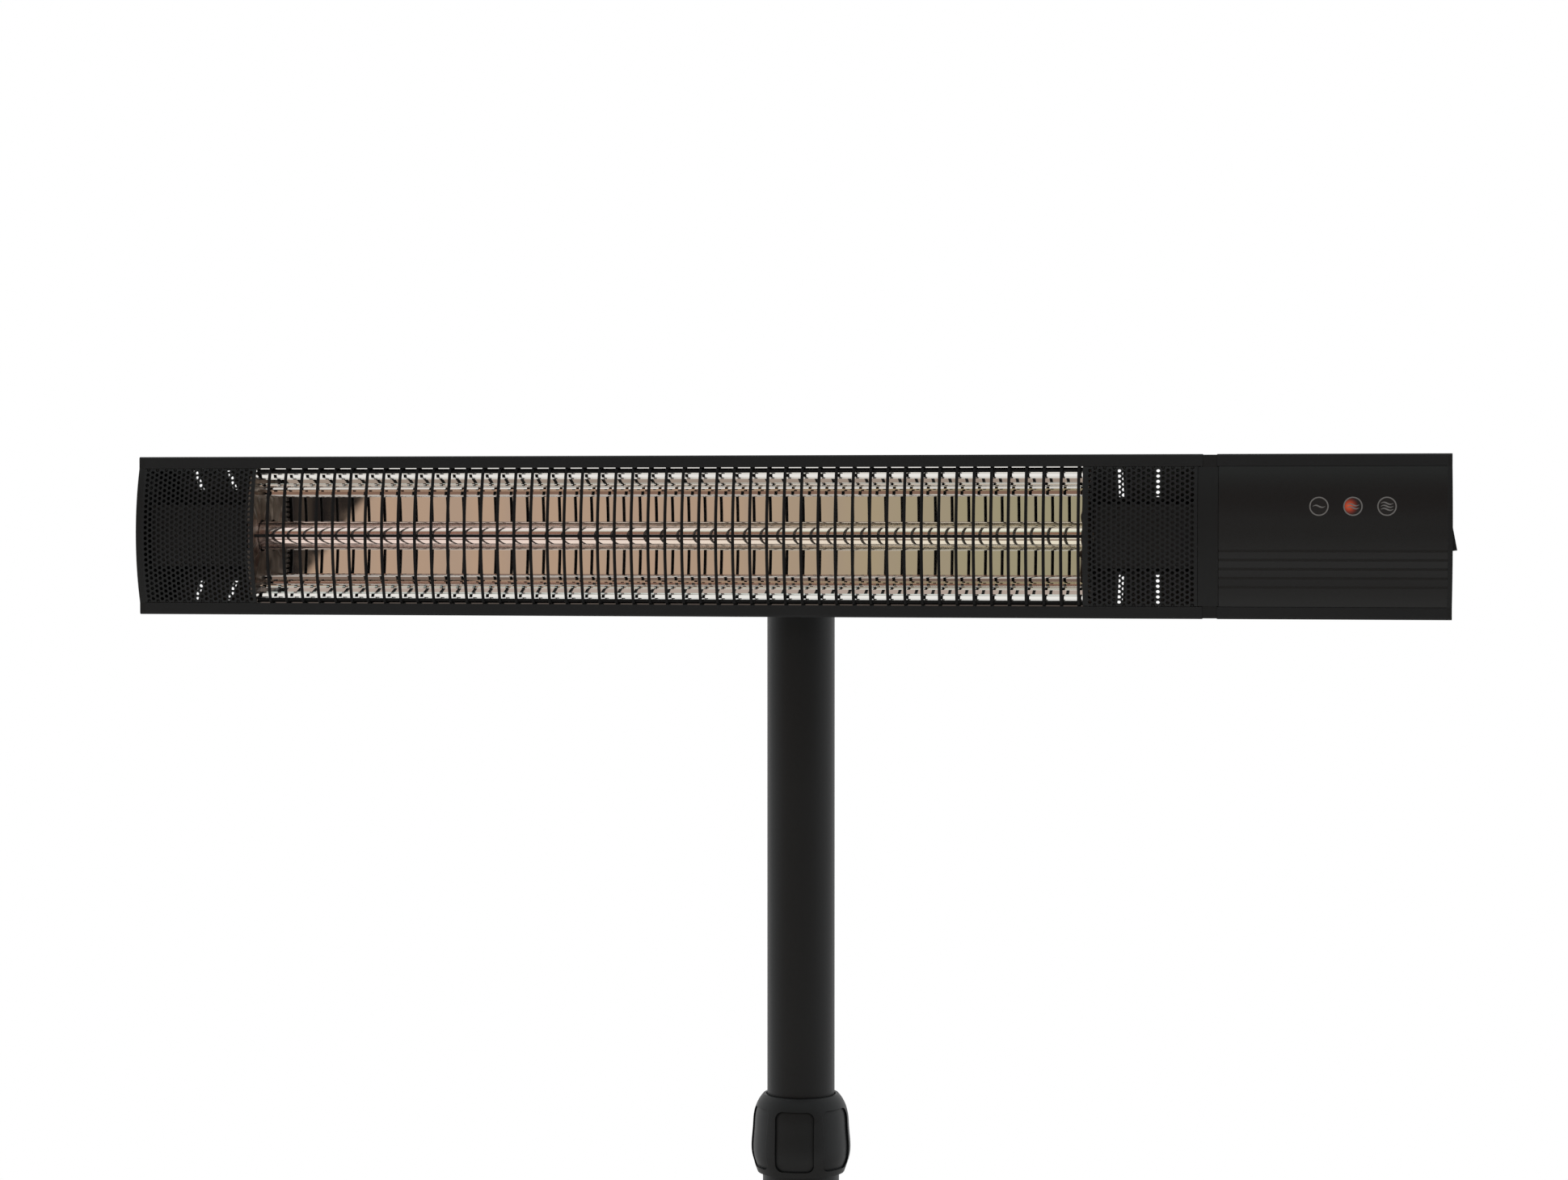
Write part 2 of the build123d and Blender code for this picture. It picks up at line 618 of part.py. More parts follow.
def tilt_washers():
    washers = [pivot_rod(side * LUG_HALF_T, side * (LUG_HALF_T + WASHER_T), WASHER_R)
               - pivot_rod(-2 * LUG_R, 2 * LUG_R, LUG_BORE_R) for side in (1, -1)]
    return group(washers)


def head_bracket():
    """Plate on the head's back with the two ears of the tilt joint."""
    plate_y = BACK_Y, BACK_Y + BRACKET_PLATE_T
    plate = Pos(0, sum(plate_y) / 2, HEAD_Z) * Box(BRACKET_W, BRACKET_PLATE_T, BRACKET_H)
    plate = fillet(plate.edges().filter_by(Axis.Y), EAR_T / 2)
    low_z, high_z = HEAD_Z - BRACKET_H / 2, HEAD_Z + BRACKET_H / 3
    web = make_face(Polyline((plate_y[0] + 1, low_z), (plate_y[0] + 1, high_z),
                             (PIVOT_Y, PIVOT_Z + EAR_R), (PIVOT_Y + EAR_R / 2, PIVOT_Z),
                             (PIVOT_Y - EAR_R / 2, PIVOT_Z - EAR_R * 0.866), close=True))
    ears = []
    for side in (1, -1):
        span = sorted((side * EAR_IN_X, side * EAR_OUT_X))
        ears.append(extrude(Plane.YZ.offset(span[0]) * web, EAR_T) + pivot_rod(*span, EAR_R))
    bracket = plate + ears - pivot_rod(-BRACKET_W, BRACKET_W, STUD_R + STUD_FIT)
    holes = [bracket_rod(x, v, BRACKET_SCREW_R + HOLE_CLEAR, 0, HEAD_DEPTH)
             for x, v in bracket_screw_places()]
    return bracket - holes


def bracket_screw_places():
    return [(x, v) for x in (-BRACKET_SCREW_X, BRACKET_SCREW_X)
            for v in (-BRACKET_SCREW_V, BRACKET_SCREW_V)]


def bracket_rod(x, v, radius, inwards, outwards):
    """A rod across the housing's back wall, measured from the wall's outside."""
    return depth_rod(x, v, HEAD_DEPTH - inwards, HEAD_DEPTH + outwards, radius)


def bracket_screws():
    screws = []
    for x, v in bracket_screw_places():
        shank = bracket_rod(x, v, BRACKET_SCREW_R, HEAD_WALL + BRACKET_NUT_H, BRACKET_PLATE_T)
        seat = head_point(x, HEAD_DEPTH + BRACKET_PLATE_T, v)
        screws.append(shank + rod(seat, seat + Vector(0, BRACKET_SCREW_HEAD_H, 0),
                                  BRACKET_SCREW_HEAD_R))
    return group(screws)


def bracket_nuts():
    nuts = []
    for x, v in bracket_screw_places():
        plane = Plane(origin=head_point(x, INNER_BACK_U, v), z_dir=(0, -1, 0))
        nut = plane * hexagon(BRACKET_NUT_R, BRACKET_NUT_H)
        nuts.append(nut - bracket_rod(x, v, BRACKET_SCREW_R + HOLE_CLEAR / 2, HEAD_DEPTH, 1))
    return group(nuts + [tilt_nut()])


def tilt_nut():
    """Nut held against the left ear, for the knob's stud."""
    plane = Plane(origin=pivot_point(-EAR_OUT_X), z_dir=(-1, 0, 0))
    return plane * hexagon(TILT_NUT_R, TILT_NUT_H) - pivot_rod(-BRACKET_W, 0, STUD_R + STUD_FIT)


def knob_foot_x():
    return EAR_OUT_X + KNOB_GAP


def tilt_stud():
    return pivot_rod(-EAR_OUT_X - TILT_NUT_H, knob_foot_x() + KNOB_HUB_H + KNOB_H / 2, STUD_R)


def tilt_knob():
    """Star knob: a hub and a lobed grip round the stud."""
    foot_x = knob_foot_x()
    grip_x = foot_x + KNOB_HUB_H
    plane = Plane(origin=pivot_point(grip_x), z_dir=(1, 0, 0))
    lobes = [loc * Circle(KNOB_LOBE_R) for loc in PolarLocations(KNOB_CORE_R, KNOB_LOBES)]
    grip = extrude(plane * (Circle(KNOB_CORE_R) + lobes), KNOB_H)
    grip = fillet(grip.faces().sort_by(Axis.X)[-1].edges(), KNOB_LOBE_R / 3)
    return grip + pivot_rod(foot_x, grip_x, KNOB_HUB_R) - tilt_stud()


# ---------------------------------------------------------------- head sections
def head_outline(inset=0.0):
    """The housing's outline, moved inwards by the inset."""
    upper = [(0, HALF_H), (TOP_FLAT_U, HALF_H), (SLANT_END_U, SLANT_END_V), (HEAD_DEPTH, BACK_FLAT_V)]
    lower = [(u, -v) for u, v in reversed(upper)]
    face = make_face(Polyline(*upper, *lower, close=True))
    face = fillet(face.vertices(), CORNER_R)
    return offset(face, -inset, kind=Kind.INTERSECTION) if inset else face


def bulge(half_v, inset=0.0, back_u=2.0):
    """The bowed part in front of the lips."""
    return Pos(ARC_U, 0) * Circle(ARC_R - inset) & rectangle((-2 * BULGE, back_u), (-half_v, half_v))


def bowed_sheet(half_v, thickness, recess=0.0):
    """Section of a sheet that follows the bowed front."""
    arc = Circle(ARC_R - recess) - Circle(ARC_R - recess - thickness)
    return Pos(ARC_U, 0) * arc & rectangle((-2 * BULGE, ARC_U), (-half_v, half_v))


def front_cover_section(thickness):
    """A bowed sheet whose edges are folded in behind the lips."""
    edge_v = LIP_V - COVER_GAP
    section = bowed_sheet(edge_v, thickness)
    for side in (1, -1):
        web = sorted((side * (edge_v - thickness), side * edge_v))
        lap = sorted((side * (edge_v - thickness), side * (LIP_V + COVER_LAP)))
        section += rectangle((thickness / 4, HEAD_WALL + thickness), web)
        section += rectangle((HEAD_WALL, HEAD_WALL + thickness), lap)
    return section


def channel_section():
    """Extruded housing: outer wall, two lips and four screw ports."""
    section = head_outline() - head_outline(HEAD_WALL)
    section -= rectangle((-1, 2 * HEAD_WALL), (-LIP_V, LIP_V))
    section += [Pos(*place) * Circle(PORT_R) for place in PORTS]
    return section - [Pos(*place) * Circle(PORT_BORE_R) for place in PORTS]


def port_clearances(radius):
    return [Pos(*place) * Circle(radius) for place in PORTS]


def plug_section():
    """Rim that fits inside a housing, open at the front and round the ports."""
    inset = HEAD_WALL + PLUG_FIT
    section = head_outline(inset) - head_outline(inset + PLUG_T)
    section -= rectangle((-1, HEAD_WALL + COVER_SHEET_T + 2 * PLUG_T), (-HALF_H, HALF_H))
    return section - port_clearances(PORT_R + PLUG_FIT)


# ---------------------------------------------------------------- head shells
def vent_cutters():
    """Upright slots through the slanted walls behind the perforated covers."""
    places = [(HEAD_LEFT + d, LEFT_VENT_LOW_V) for d in VENT_FROM_LEFT]
    places += [(WINDOW_RIGHT + d, RIGHT_VENT_LOW_V) for d in VENT_FROM_WINDOW]
    slots = []
    for s, low_v in places:
        for side in (1, -1):
            v_span = sorted((side * low_v, side * VENT_HIGH_V))
            slots.append(head_box((s - VENT_W / 2, s + VENT_W / 2), (TOP_FLAT_U, HEAD_DEPTH), v_span))
    return slots


def rivet_places(s):
    return [(s, -RIVET_V), (s, RIVET_V)]


def rivet_stations():
    return JOINT_LEFT - PLUG_L / 2, JOINT_RIGHT + PLUG_L / 2


def rivet_holes(s):
    inner_u = INNER_BACK_U - PLUG_FIT - PLUG_T
    return [depth_rod(s, v, inner_u - 1, HEAD_DEPTH + 1, RIVET_R + HOLE_CLEAR)
            for s, v in rivet_places(s)]


def heater_housing():
    shell = along_head(channel_section(), COVER_LEFT, JOINT_LEFT)
    holes = [bracket_rod(x, v, BRACKET_SCREW_R + HOLE_CLEAR, 2 * HEAD_WALL, 1)
             for x, v in bracket_screw_places()]
    return shell - vent_cutters() - holes - rivet_holes(rivet_stations()[0])


def end_cap(s_outer, thickness, side):
    """End plate with its rim; side is -1 for the left end and 1 for the right."""
    s_inner = s_outer - side * thickness
    plate = along_head(head_outline() + bulge(LIP_V), *sorted((s_outer, s_inner)))
    rim = along_head(plug_section(), *sorted((s_inner, s_inner - side * PLUG_L)))
    holes = [rod(head_point(s_outer + side, u, v), head_point(s_inner - side, u, v),
                 SCREW_R + HOLE_CLEAR) for u, v in PORTS]
    recesses = [rod(head_point(s_outer + side, u, v), head_point(s_outer - side * SCREW_SINK, u, v),
                    SCREW_HEAD_R + HOLE_CLEAR) for u, v in PORTS]
    return plate + rim - holes - recesses


def left_end_cap():
    return end_cap(HEAD_LEFT, LEFT_CAP_T, -1)


def right_end_cap():
    cap = end_cap(HEAD_RIGHT, RIGHT_CAP_T, 1)
    recess = switch_box((HEAD_RIGHT - BEZEL_T, HEAD_RIGHT + 1), BEZEL_LAP + SWITCH_WALL + HOLE_CLEAR)
    opening = switch_box((PANEL_RIGHT - 1, HEAD_RIGHT), SWITCH_WALL + HOLE_CLEAR)
    return cap - recess - opening


def port_screws(s_seat, side, length=SCREW_L):
    """Pan-head screws into the ports; side is the direction that the heads face."""
    screws = []
    for u, v in PORTS:
        seat = head_point(s_seat, u, v)
        outwards = Vector(side, 0, 0)
        head = rod(seat, seat + outwards * SCREW_HEAD_H, SCREW_HEAD_R)
        screws.append(head + rod(seat - outwards * length, seat, SCREW_R))
    return screws


def housing_screws():
    """The alike screws of both end caps and of the joint frame."""
    return group(port_screws(HEAD_LEFT + SCREW_SINK, -1) + port_screws(HEAD_RIGHT - SCREW_SINK, 1)
                 + port_screws(shield_left() + PLUG_T, 1))


def perforated_cover_left():
    return along_head(front_cover_section(COVER_SHEET_T), COVER_LEFT, WINDOW_LEFT)


def perforated_cover_right():
    return along_head(front_cover_section(COVER_SHEET_T), WINDOW_RIGHT, JOINT_FACE_LEFT)


def joint_frame():
    """Ring that joins the two housings, with its own bowed front face."""
    ring_section = head_outline(JOINT_RECESS) - head_outline(JOINT_RECESS + JOINT_RING_T)
    frame = along_head(ring_section, JOINT_LEFT, JOINT_RIGHT)
    face = bowed_sheet(LIP_V - 2 * COVER_GAP, PLUG_T, JOINT_RECESS - COVER_GAP)
    frame += along_head(face, JOINT_FACE_LEFT + COVER_GAP, PANEL_LEFT - COVER_GAP)
    frame += along_head(plug_section(), JOINT_LEFT - PLUG_L, JOINT_LEFT)
    frame += along_head(plug_section(), JOINT_RIGHT, JOINT_RIGHT + PLUG_L)
    lugs = Sketch() + [Pos(*place) * Circle(JOINT_LUG_R) for place in PORTS]
    lugs = lugs & head_outline(JOINT_RECESS + JOINT_RING_T / 2)
    frame += along_head(lugs, JOINT_LEFT, JOINT_LEFT + JOINT_LUG_L)
    holes = [rod(head_point(JOINT_LEFT - 1, u, v), head_point(JOINT_RIGHT, u, v),
                 SCREW_R + HOLE_CLEAR) for u, v in PORTS]
    holes += [rod(head_point(shield_left(), u, v), head_point(JOINT_RIGHT, u, v),
                  SCREW_HEAD_R + HOLE_CLEAR) for u, v in PORTS]
    for station in rivet_stations():
        holes += rivet_holes(station)
    return frame - holes


def joint_rivets():
    inner_u = INNER_BACK_U - PLUG_FIT - PLUG_T
    rivets = []
    for station in rivet_stations():
        for s, v in rivet_places(station):
            shank = depth_rod(s, v, inner_u, HEAD_DEPTH, RIVET_R)
            head = depth_rod(s, v, HEAD_DEPTH, HEAD_DEPTH + RIVET_HEAD_H, RIVET_HEAD_R)
            tail = depth_rod(s, v, inner_u - RIVET_HEAD_H, inner_u, RIVET_HEAD_R - RIVET_R / 2)
            rivets.append(shank + head + tail)
    return group(rivets)


def shield_left():
    return JOINT_LEFT + JOINT_LUG_L


def heat_shield():
    """Plate across the joint frame that keeps the lamp's heat out of the control box."""
    section = head_outline(JOINT_RECESS + JOINT_RING_T + PLUG_FIT)
    section -= port_clearances(SCREW_R + HOLE_CLEAR)
    section -= [Pos(LEAD_U, side * LEAD_V) * Circle(LEAD_HOLE_R) for side in (1, -1)]
    return along_head(section, shield_left(), shield_left() + PLUG_T)


def lead_grommets():
    """Silicone rings round the lamp's leads where they pass the shield."""
    grommets = []
    for side in (1, -1):
        barrel = Circle(LEAD_HOLE_R - HOLE_CLEAR) - Circle(LEAD_R + HOLE_CLEAR)
        flange = Circle(LEAD_HOLE_R + LEAD_R / 2) - Circle(LEAD_R + HOLE_CLEAR)
        place = Pos(LEAD_U, side * LEAD_V)
        right = shield_left() + PLUG_T
        grommets.append(along_head(place * barrel, shield_left(), right)
                        + along_head(place * flange, right, right + PLUG_T))
    return group(grommets)


def control_housing():
    shell = along_head(channel_section(), JOINT_RIGHT, PANEL_RIGHT)
    gland_hole = depth_rod(GLAND_S, 0, INNER_BACK_U - 1, HEAD_DEPTH + 1,
                           GLAND_THREAD_R + HOLE_CLEAR)
    return shell - gland_hole - rivet_holes(rivet_stations()[1])


# ---------------------------------------------------------------- head front and lamp
def guard_rail(v):
    """A rail along the backs of the bowed wires."""
    rail_r = ARC_R - 3 * GUARD_WIRE_R + GUARD_WELD
    u = ARC_U - sqrt(rail_r**2 - v**2)
    return rod(head_point(WINDOW_LEFT + GUARD_END_GAP, u, v),
               head_point(WINDOW_RIGHT - GUARD_END_GAP, u, v), GUARD_WIRE_R)


def guard_tail(side):
    """Straight end of an upright wire, from its outer rail to behind the lip."""
    u = HEAD_WALL + GUARD_WIRE_R + GUARD_END_GAP / 4
    return rod(head_point(0, u, side * GUARD_EDGE_V),
               head_point(0, u, side * (LIP_V + GUARD_TAIL_LAP)), GUARD_WIRE_R)


def wire_guard():
    """Bowed upright wires welded to three rails and tucked behind the lips."""
    bow_r = ARC_R - GUARD_WIRE_R
    half_angle = degrees(asin((GUARD_EDGE_V + GUARD_WIRE_R) / bow_r))
    axis = Axis(head_point(0, ARC_U, 0), (1, 0, 0))
    start = Plane(origin=head_point(0, ARC_U - bow_r, 0), z_dir=(0, 0, 1)) * Circle(GUARD_WIRE_R)
    start = start.rotate(axis, -half_angle)
    wire = [revolve(start, axis, 2 * half_angle), guard_tail(1), guard_tail(-1)]
    count = int((WINDOW_L - GUARD_FIRST - GUARD_WIRE_R - GUARD_END_GAP) / GUARD_PITCH) + 1
    places = [Pos(WINDOW_LEFT + GUARD_FIRST + GUARD_PITCH * i, 0, 0) for i in range(count)]
    wires = [place * length for place in places for length in wire]
    return Part() + [guard_rail(v) for v in (-GUARD_EDGE_V, 0, GUARD_EDGE_V)] + wires


def reflector_section():
    """Folded mirror sheet, open to the front."""
    folds = [(REFLECTOR_U - depth, REFLECTOR_EDGE_V - drop) for depth, drop in REFLECTOR_FOLDS]
    upper = [(REFLECTOR_EDGE_U, REFLECTOR_EDGE_V), *reversed(folds)]
    lower = [(u, -v) for u, v in reversed(upper)]
    hollow = make_face(Polyline(*upper, *lower, close=True))
    sheet = offset(hollow, REFLECTOR_T, kind=Kind.INTERSECTION) - hollow
    sheet -= rectangle((-HEAD_DEPTH, REFLECTOR_EDGE_U), (-HALF_H, HALF_H))
    seat_v = HALF_H - HEAD_WALL - REFLECTOR_SEAT_GAP
    for side in (1, -1):
        flange = sorted((side * REFLECTOR_EDGE_V, side * seat_v))
        sheet += rectangle((REFLECTOR_EDGE_U, REFLECTOR_EDGE_U + REFLECTOR_T), flange)
    return sheet


def reflector():
    return along_head(reflector_section(), MIRROR_LEFT, MIRROR_RIGHT)


def reflector_end(s_from):
    """Mirror plate that closes one end of the window, pierced for the lamp."""
    seat_v = HALF_H - HEAD_WALL - REFLECTOR_SEAT_GAP
    upper = [(REFLECTOR_EDGE_U, seat_v), (END_PLATE_SHOULDER_U, seat_v),
             (END_PLATE_BACK_U, END_PLATE_BACK_V)]
    lower = [(u, -v) for u, v in reversed(upper)]
    plate = make_face(Polyline(*upper, *lower, close=True))
    plate += bulge(LIP_V - COVER_GAP - 2 * COVER_SHEET_T, COVER_SHEET_T + GUARD_END_GAP,
                   REFLECTOR_EDGE_U + 1)
    plate -= [Pos(TUBE_U, 0) * Circle(END_PLATE_HOLE_R), *port_clearances(PORT_R + PLUG_FIT)]
    return along_head(plate, s_from, s_from + REFLECTOR_T)


def reflector_end_left():
    return reflector_end(MIRROR_LEFT - REFLECTOR_T)


def reflector_end_right():
    return reflector_end(MIRROR_RIGHT)


def quartz_tube():
    section = Pos(TUBE_U, 0) * (Circle(TUBE_R) - Circle(TUBE_R - TUBE_GLASS_T))
    return along_head(section, TUBE_LEFT, TUBE_RIGHT)


def heating_ribbon():
    """Flat carbon ribbon that runs the length of the lamp."""
    return head_box((TUBE_LEFT, TUBE_RIGHT), (TUBE_U - RIBBON_T / 2, TUBE_U + RIBBON_T / 2),
                    (-RIBBON_W / 2, RIBBON_W / 2))


def lamp_cap(s_tube_end, side):
    """Ceramic block on one end of the lamp; side is -1 on the left."""
    s_outer = s_tube_end + side * (LAMP_CAP_L - LAMP_CAP_BORE_L)
    s_mouth = s_tube_end - side * LAMP_CAP_BORE_L
    section = Pos(TUBE_U, 0) * RectangleRounded(LAMP_CAP_SIZE, LAMP_CAP_SIZE, LAMP_CAP_SIZE / 8)
    block = along_head(section, *sorted((s_outer, s_mouth)))
    bore = along_head(Pos(TUBE_U, 0) * Circle(TUBE_R + LAMP_CAP_FIT), *sorted((s_tube_end, s_mouth)))
    return block - bore


def lamp_cap_left():
    return lamp_cap(TUBE_LEFT, -1)


def lamp_cap_right():
    return lamp_cap(TUBE_RIGHT, 1)


def lamp_holder(s_tube_end, side, s_mirror_end, s_far_end):
    """Folded steel guard round a ceramic block, on a foot at the housing's back."""
    s_web = s_tube_end - side * HOLDER_T
    s_outer = s_tube_end + side * (LAMP_CAP_L - LAMP_CAP_BORE_L)
    s_mouth = s_tube_end - side * LAMP_CAP_BORE_L
    saddle_u = TUBE_U + LAMP_CAP_SIZE / 2
    foot_v = -HOLDER_FOOT_V, HOLDER_FOOT_V
    hollow = rectangle((HOLDER_U + HOLDER_T, saddle_u),
                       (HOLDER_T - HOLDER_HALF_H, HOLDER_HALF_H - HOLDER_T))
    outer = rectangle((HOLDER_U, saddle_u), (-HOLDER_HALF_H, HOLDER_HALF_H))
    guard_span = s_mirror_end + side * HOLDER_MIRROR_GAP, s_far_end - side * HOLDER_END_GAP
    guard = along_head(outer - hollow, *sorted(guard_span))
    saddle = head_box(sorted((s_outer, s_mouth)), (saddle_u, saddle_u + HOLDER_T),
                      (-HOLDER_HALF_H, HOLDER_HALF_H))
    web = head_box(sorted((s_tube_end, s_web)), (saddle_u, INNER_BACK_U), foot_v)
    foot = head_box(sorted((s_tube_end + side * HOLDER_FOOT_L, s_web)),
                    (INNER_BACK_U - HOLDER_T, INNER_BACK_U), foot_v)
    return guard + saddle + web + foot


def lamp_holder_left():
    return lamp_holder(TUBE_LEFT, -1, MIRROR_LEFT - REFLECTOR_T, COVER_LEFT)


def lamp_holder_right():
    return lamp_holder(TUBE_RIGHT, 1, MIRROR_RIGHT + REFLECTOR_T, JOINT_FACE_LEFT)


def lead_path(s_tube_end, side, v_side):
    """A lamp lead: out of the cap, back behind the reflector and along to the terminal block."""
    s_cap = s_tube_end + side * (LAMP_CAP_L - LAMP_CAP_BORE_L)
    s_turn = s_cap + side * LEAD_OUT
    s_end = PANEL_LEFT + TERMINAL_AT + TERMINAL_L * (0.5 - 0.2 * v_side)
    points = [head_point(s_cap, TUBE_U, 0), head_point(s_turn, TUBE_U, 0),
              head_point(s_turn, LEAD_U, v_side * LEAD_V), head_point(s_end, LEAD_U, v_side * LEAD_V),
              head_point(s_end, LEAD_U, v_side * TERMINAL_H / 2)]
    return FilletPolyline(*points, radius=LEAD_BEND)


def lamp_leads():
    leads = []
    for s_tube_end, side, v_side in ((TUBE_LEFT, -1, 1), (TUBE_RIGHT, 1, -1)):
        path = lead_path(s_tube_end, side, v_side)
        plane = Plane(origin=path @ 0, z_dir=path % 0)
        leads.append(sweep(plane * Circle(LEAD_R), path=path))
    return group(leads)


# ---------------------------------------------------------------- control box
def panel_inner_u(v):
    """Depth of the panel's inside at the height v."""
    inner_r = ARC_R - PANEL_T
    return ARC_U - (inner_r**2 - v**2) ** 0.5


def icon_cutter(s, radius):
    return depth_rod(s, ICON_V, -2 * BULGE, 0, radius)


def control_panel():
    """Bowed front of the control box with grooves, icon windows and four bosses."""
    section = front_cover_section(PANEL_T)
    for i in range(GROOVES):
        v = GROOVE_FIRST_V - GROOVE_PITCH * i
        face_u = ARC_U - (ARC_R**2 - v**2) ** 0.5
        section -= rectangle((face_u - 2, face_u + GROOVE_DEPTH), (v - GROOVE_W / 2, v + GROOVE_W / 2))
    panel = along_head(section, PANEL_LEFT, PANEL_RIGHT)
    panel -= [icon_cutter(s, ICON_R + ICON_FIT) for s in ICON_S]
    bosses = []
    for s, v in BOSS_PLACES:
        sink = panel_inner_u(abs(v) + BOSS_R) - PANEL_T / 2
        bosses.append(depth_rod(s, v, min(sink, panel_inner_u(abs(v) - BOSS_R)), BOARD_U, BOSS_R))
    panel += bosses
    bores = [depth_rod(s, v, BOARD_BACK_U - BOARD_SCREW_L, BOARD_U, BOARD_SCREW_R) for s, v in BOSS_PLACES]
    return panel - bores


def indicator_window(i):
    """Clear disc that fills one icon's hole and follows the panel's bow."""
    sheet = along_head(bowed_sheet(LIP_V - 2 * COVER_GAP, PANEL_T), PANEL_LEFT, PANEL_RIGHT)
    return sheet & icon_cutter(ICON_S[i], ICON_R)


def indicator_window_low():
    return indicator_window(0)


def indicator_window_medium():
    return indicator_window(1)


def indicator_window_high():
    return indicator_window(2)


def circuit_board():
    board = head_box((BOARD_S, BOARD_S + BOARD_L), (BOARD_U, BOARD_BACK_U), (BOARD_LOW_V, BOARD_HIGH_V))
    return board - [depth_rod(s, v, 0, 2 * BOARD_BACK_U, BOARD_SCREW_R + HOLE_CLEAR)
                    for s, v in BOSS_PLACES]


def board_screws():
    screws = []
    for s, v in BOSS_PLACES:
        head = depth_rod(s, v, BOARD_BACK_U, BOARD_BACK_U + BOARD_SCREW_HEAD_H, BOARD_SCREW_HEAD_R)
        screws.append(head + depth_rod(s, v, BOARD_BACK_U - BOARD_SCREW_L, BOARD_BACK_U, BOARD_SCREW_R))
    return group(screws)


def indicator_lights():
    """One lamp behind each icon, on its spacer."""
    front_u = panel_inner_u(ICON_V + LED_R) + LED_GAP
    return group(depth_rod(s, ICON_V, front_u, BOARD_U, LED_R) for s in ICON_S)


def on_board(at, length, v_low, height, depth):
    """A block on the back of the board."""
    return head_box((BOARD_S + at, BOARD_S + at + length), (BOARD_BACK_U, BOARD_BACK_U + depth),
                    (v_low, v_low + height))


def board_relays():
    return group(on_board(RELAY_FIRST + RELAY_PITCH * i, RELAY_L, RELAY_V, RELAY_H, RELAY_D)
                 for i in range(2))


def board_power_parts():
    """Transformer and capacitor."""
    transformer = on_board(TRANSFORMER_AT, TRANSFORMER_L, TRANSFORMER_V, TRANSFORMER_H,
                           TRANSFORMER_D)
    capacitor = depth_rod(BOARD_S + CAPACITOR_AT, CAPACITOR_V, BOARD_BACK_U,
                          BOARD_BACK_U + CAPACITOR_D, CAPACITOR_R)
    return group([transformer, capacitor])


def tip_over_switch():
    return on_board(TIP_SWITCH_AT, TIP_SWITCH_SIZE, TIP_SWITCH_V, TIP_SWITCH_SIZE, TIP_SWITCH_SIZE)


def remote_receiver():
    """Sensor on the front of the board."""
    s = BOARD_S + RECEIVER_AT
    front_u = panel_inner_u(RECEIVER_V + RECEIVER_H / 2) + LED_GAP
    return head_box((s, s + RECEIVER_W), (front_u, BOARD_U),
                    (RECEIVER_V - RECEIVER_H / 2, RECEIVER_V + RECEIVER_H / 2))


def terminal_block():
    s = PANEL_LEFT + TERMINAL_AT
    return head_box((s, s + TERMINAL_L), (INNER_BACK_U - TERMINAL_D, INNER_BACK_U),
                    (-TERMINAL_H / 2, TERMINAL_H / 2))


def thermal_cutout():
    right = shield_left() + PLUG_T
    return rod(head_point(right, CUTOUT_U, CUTOUT_V), head_point(right + CUTOUT_L, CUTOUT_U, CUTOUT_V),
               CUTOUT_R)


def cable_gland():
    """Gland in the box's back wall: hexagon, dome and the nut inside."""
    outwards = Plane(origin=head_point(GLAND_S, HEAD_DEPTH, 0), z_dir=(0, 1, 0))
    inwards = Plane(origin=head_point(GLAND_S, INNER_BACK_U, 0), z_dir=(0, -1, 0))
    dome_u = HEAD_DEPTH + GLAND_HEX_L, HEAD_DEPTH + GLAND_HEX_L + GLAND_DOME_L
    dome = depth_rod(GLAND_S, 0, *dome_u, GLAND_HEX_R)
    dome = fillet(dome.edges().sort_by(Axis.Y)[-1], GLAND_HEX_R / 3)
    body = outwards * hexagon(GLAND_HEX_R, GLAND_HEX_L) + inwards * hexagon(GLAND_HEX_R, GLAND_NUT_L)
    thread = depth_rod(GLAND_S, 0, INNER_BACK_U - GLAND_NUT_L, HEAD_DEPTH, GLAND_THREAD_R)
    return body + dome + thread - depth_rod(GLAND_S, 0, 0, 2 * HEAD_DEPTH, GLAND_BORE_R)


# ---------------------------------------------------------------- rocker switch
def switch_box(s_span, margin):
    """A block on the switch's centre, bigger than its opening by the margin."""
    half_w, half_h = BEZEL_HALF_W + margin, BEZEL_HALF_H + margin
    return head_box(s_span, (SWITCH_U - half_w, SWITCH_U + half_w), (-half_h, half_h))


def switch_floor_s():
    return HEAD_RIGHT - BEZEL_T - SWITCH_BODY_DEPTH


def rocker_pin(radius, reach):
    start = head_point(ROCKER_PIVOT_S, SWITCH_U - reach, 0)
    return rod(start, start + Vector(0, 2 * reach, 0), radius)


def switch_body():
    """Bezel flush with the end cap, and the open box behind it."""
    bezel = switch_box((HEAD_RIGHT - BEZEL_T, HEAD_RIGHT), BEZEL_LAP + SWITCH_WALL)
    box = switch_box((switch_floor_s(), HEAD_RIGHT), SWITCH_WALL)
    cavity = switch_box((switch_floor_s() + SWITCH_FLOOR, HEAD_RIGHT + 1), 0)
    sockets = rocker_pin(ROCKER_PIN_R + ROCKER_PIN_FIT, BEZEL_HALF_W + SWITCH_WALL + 1)
    return bezel + box - cavity - sockets


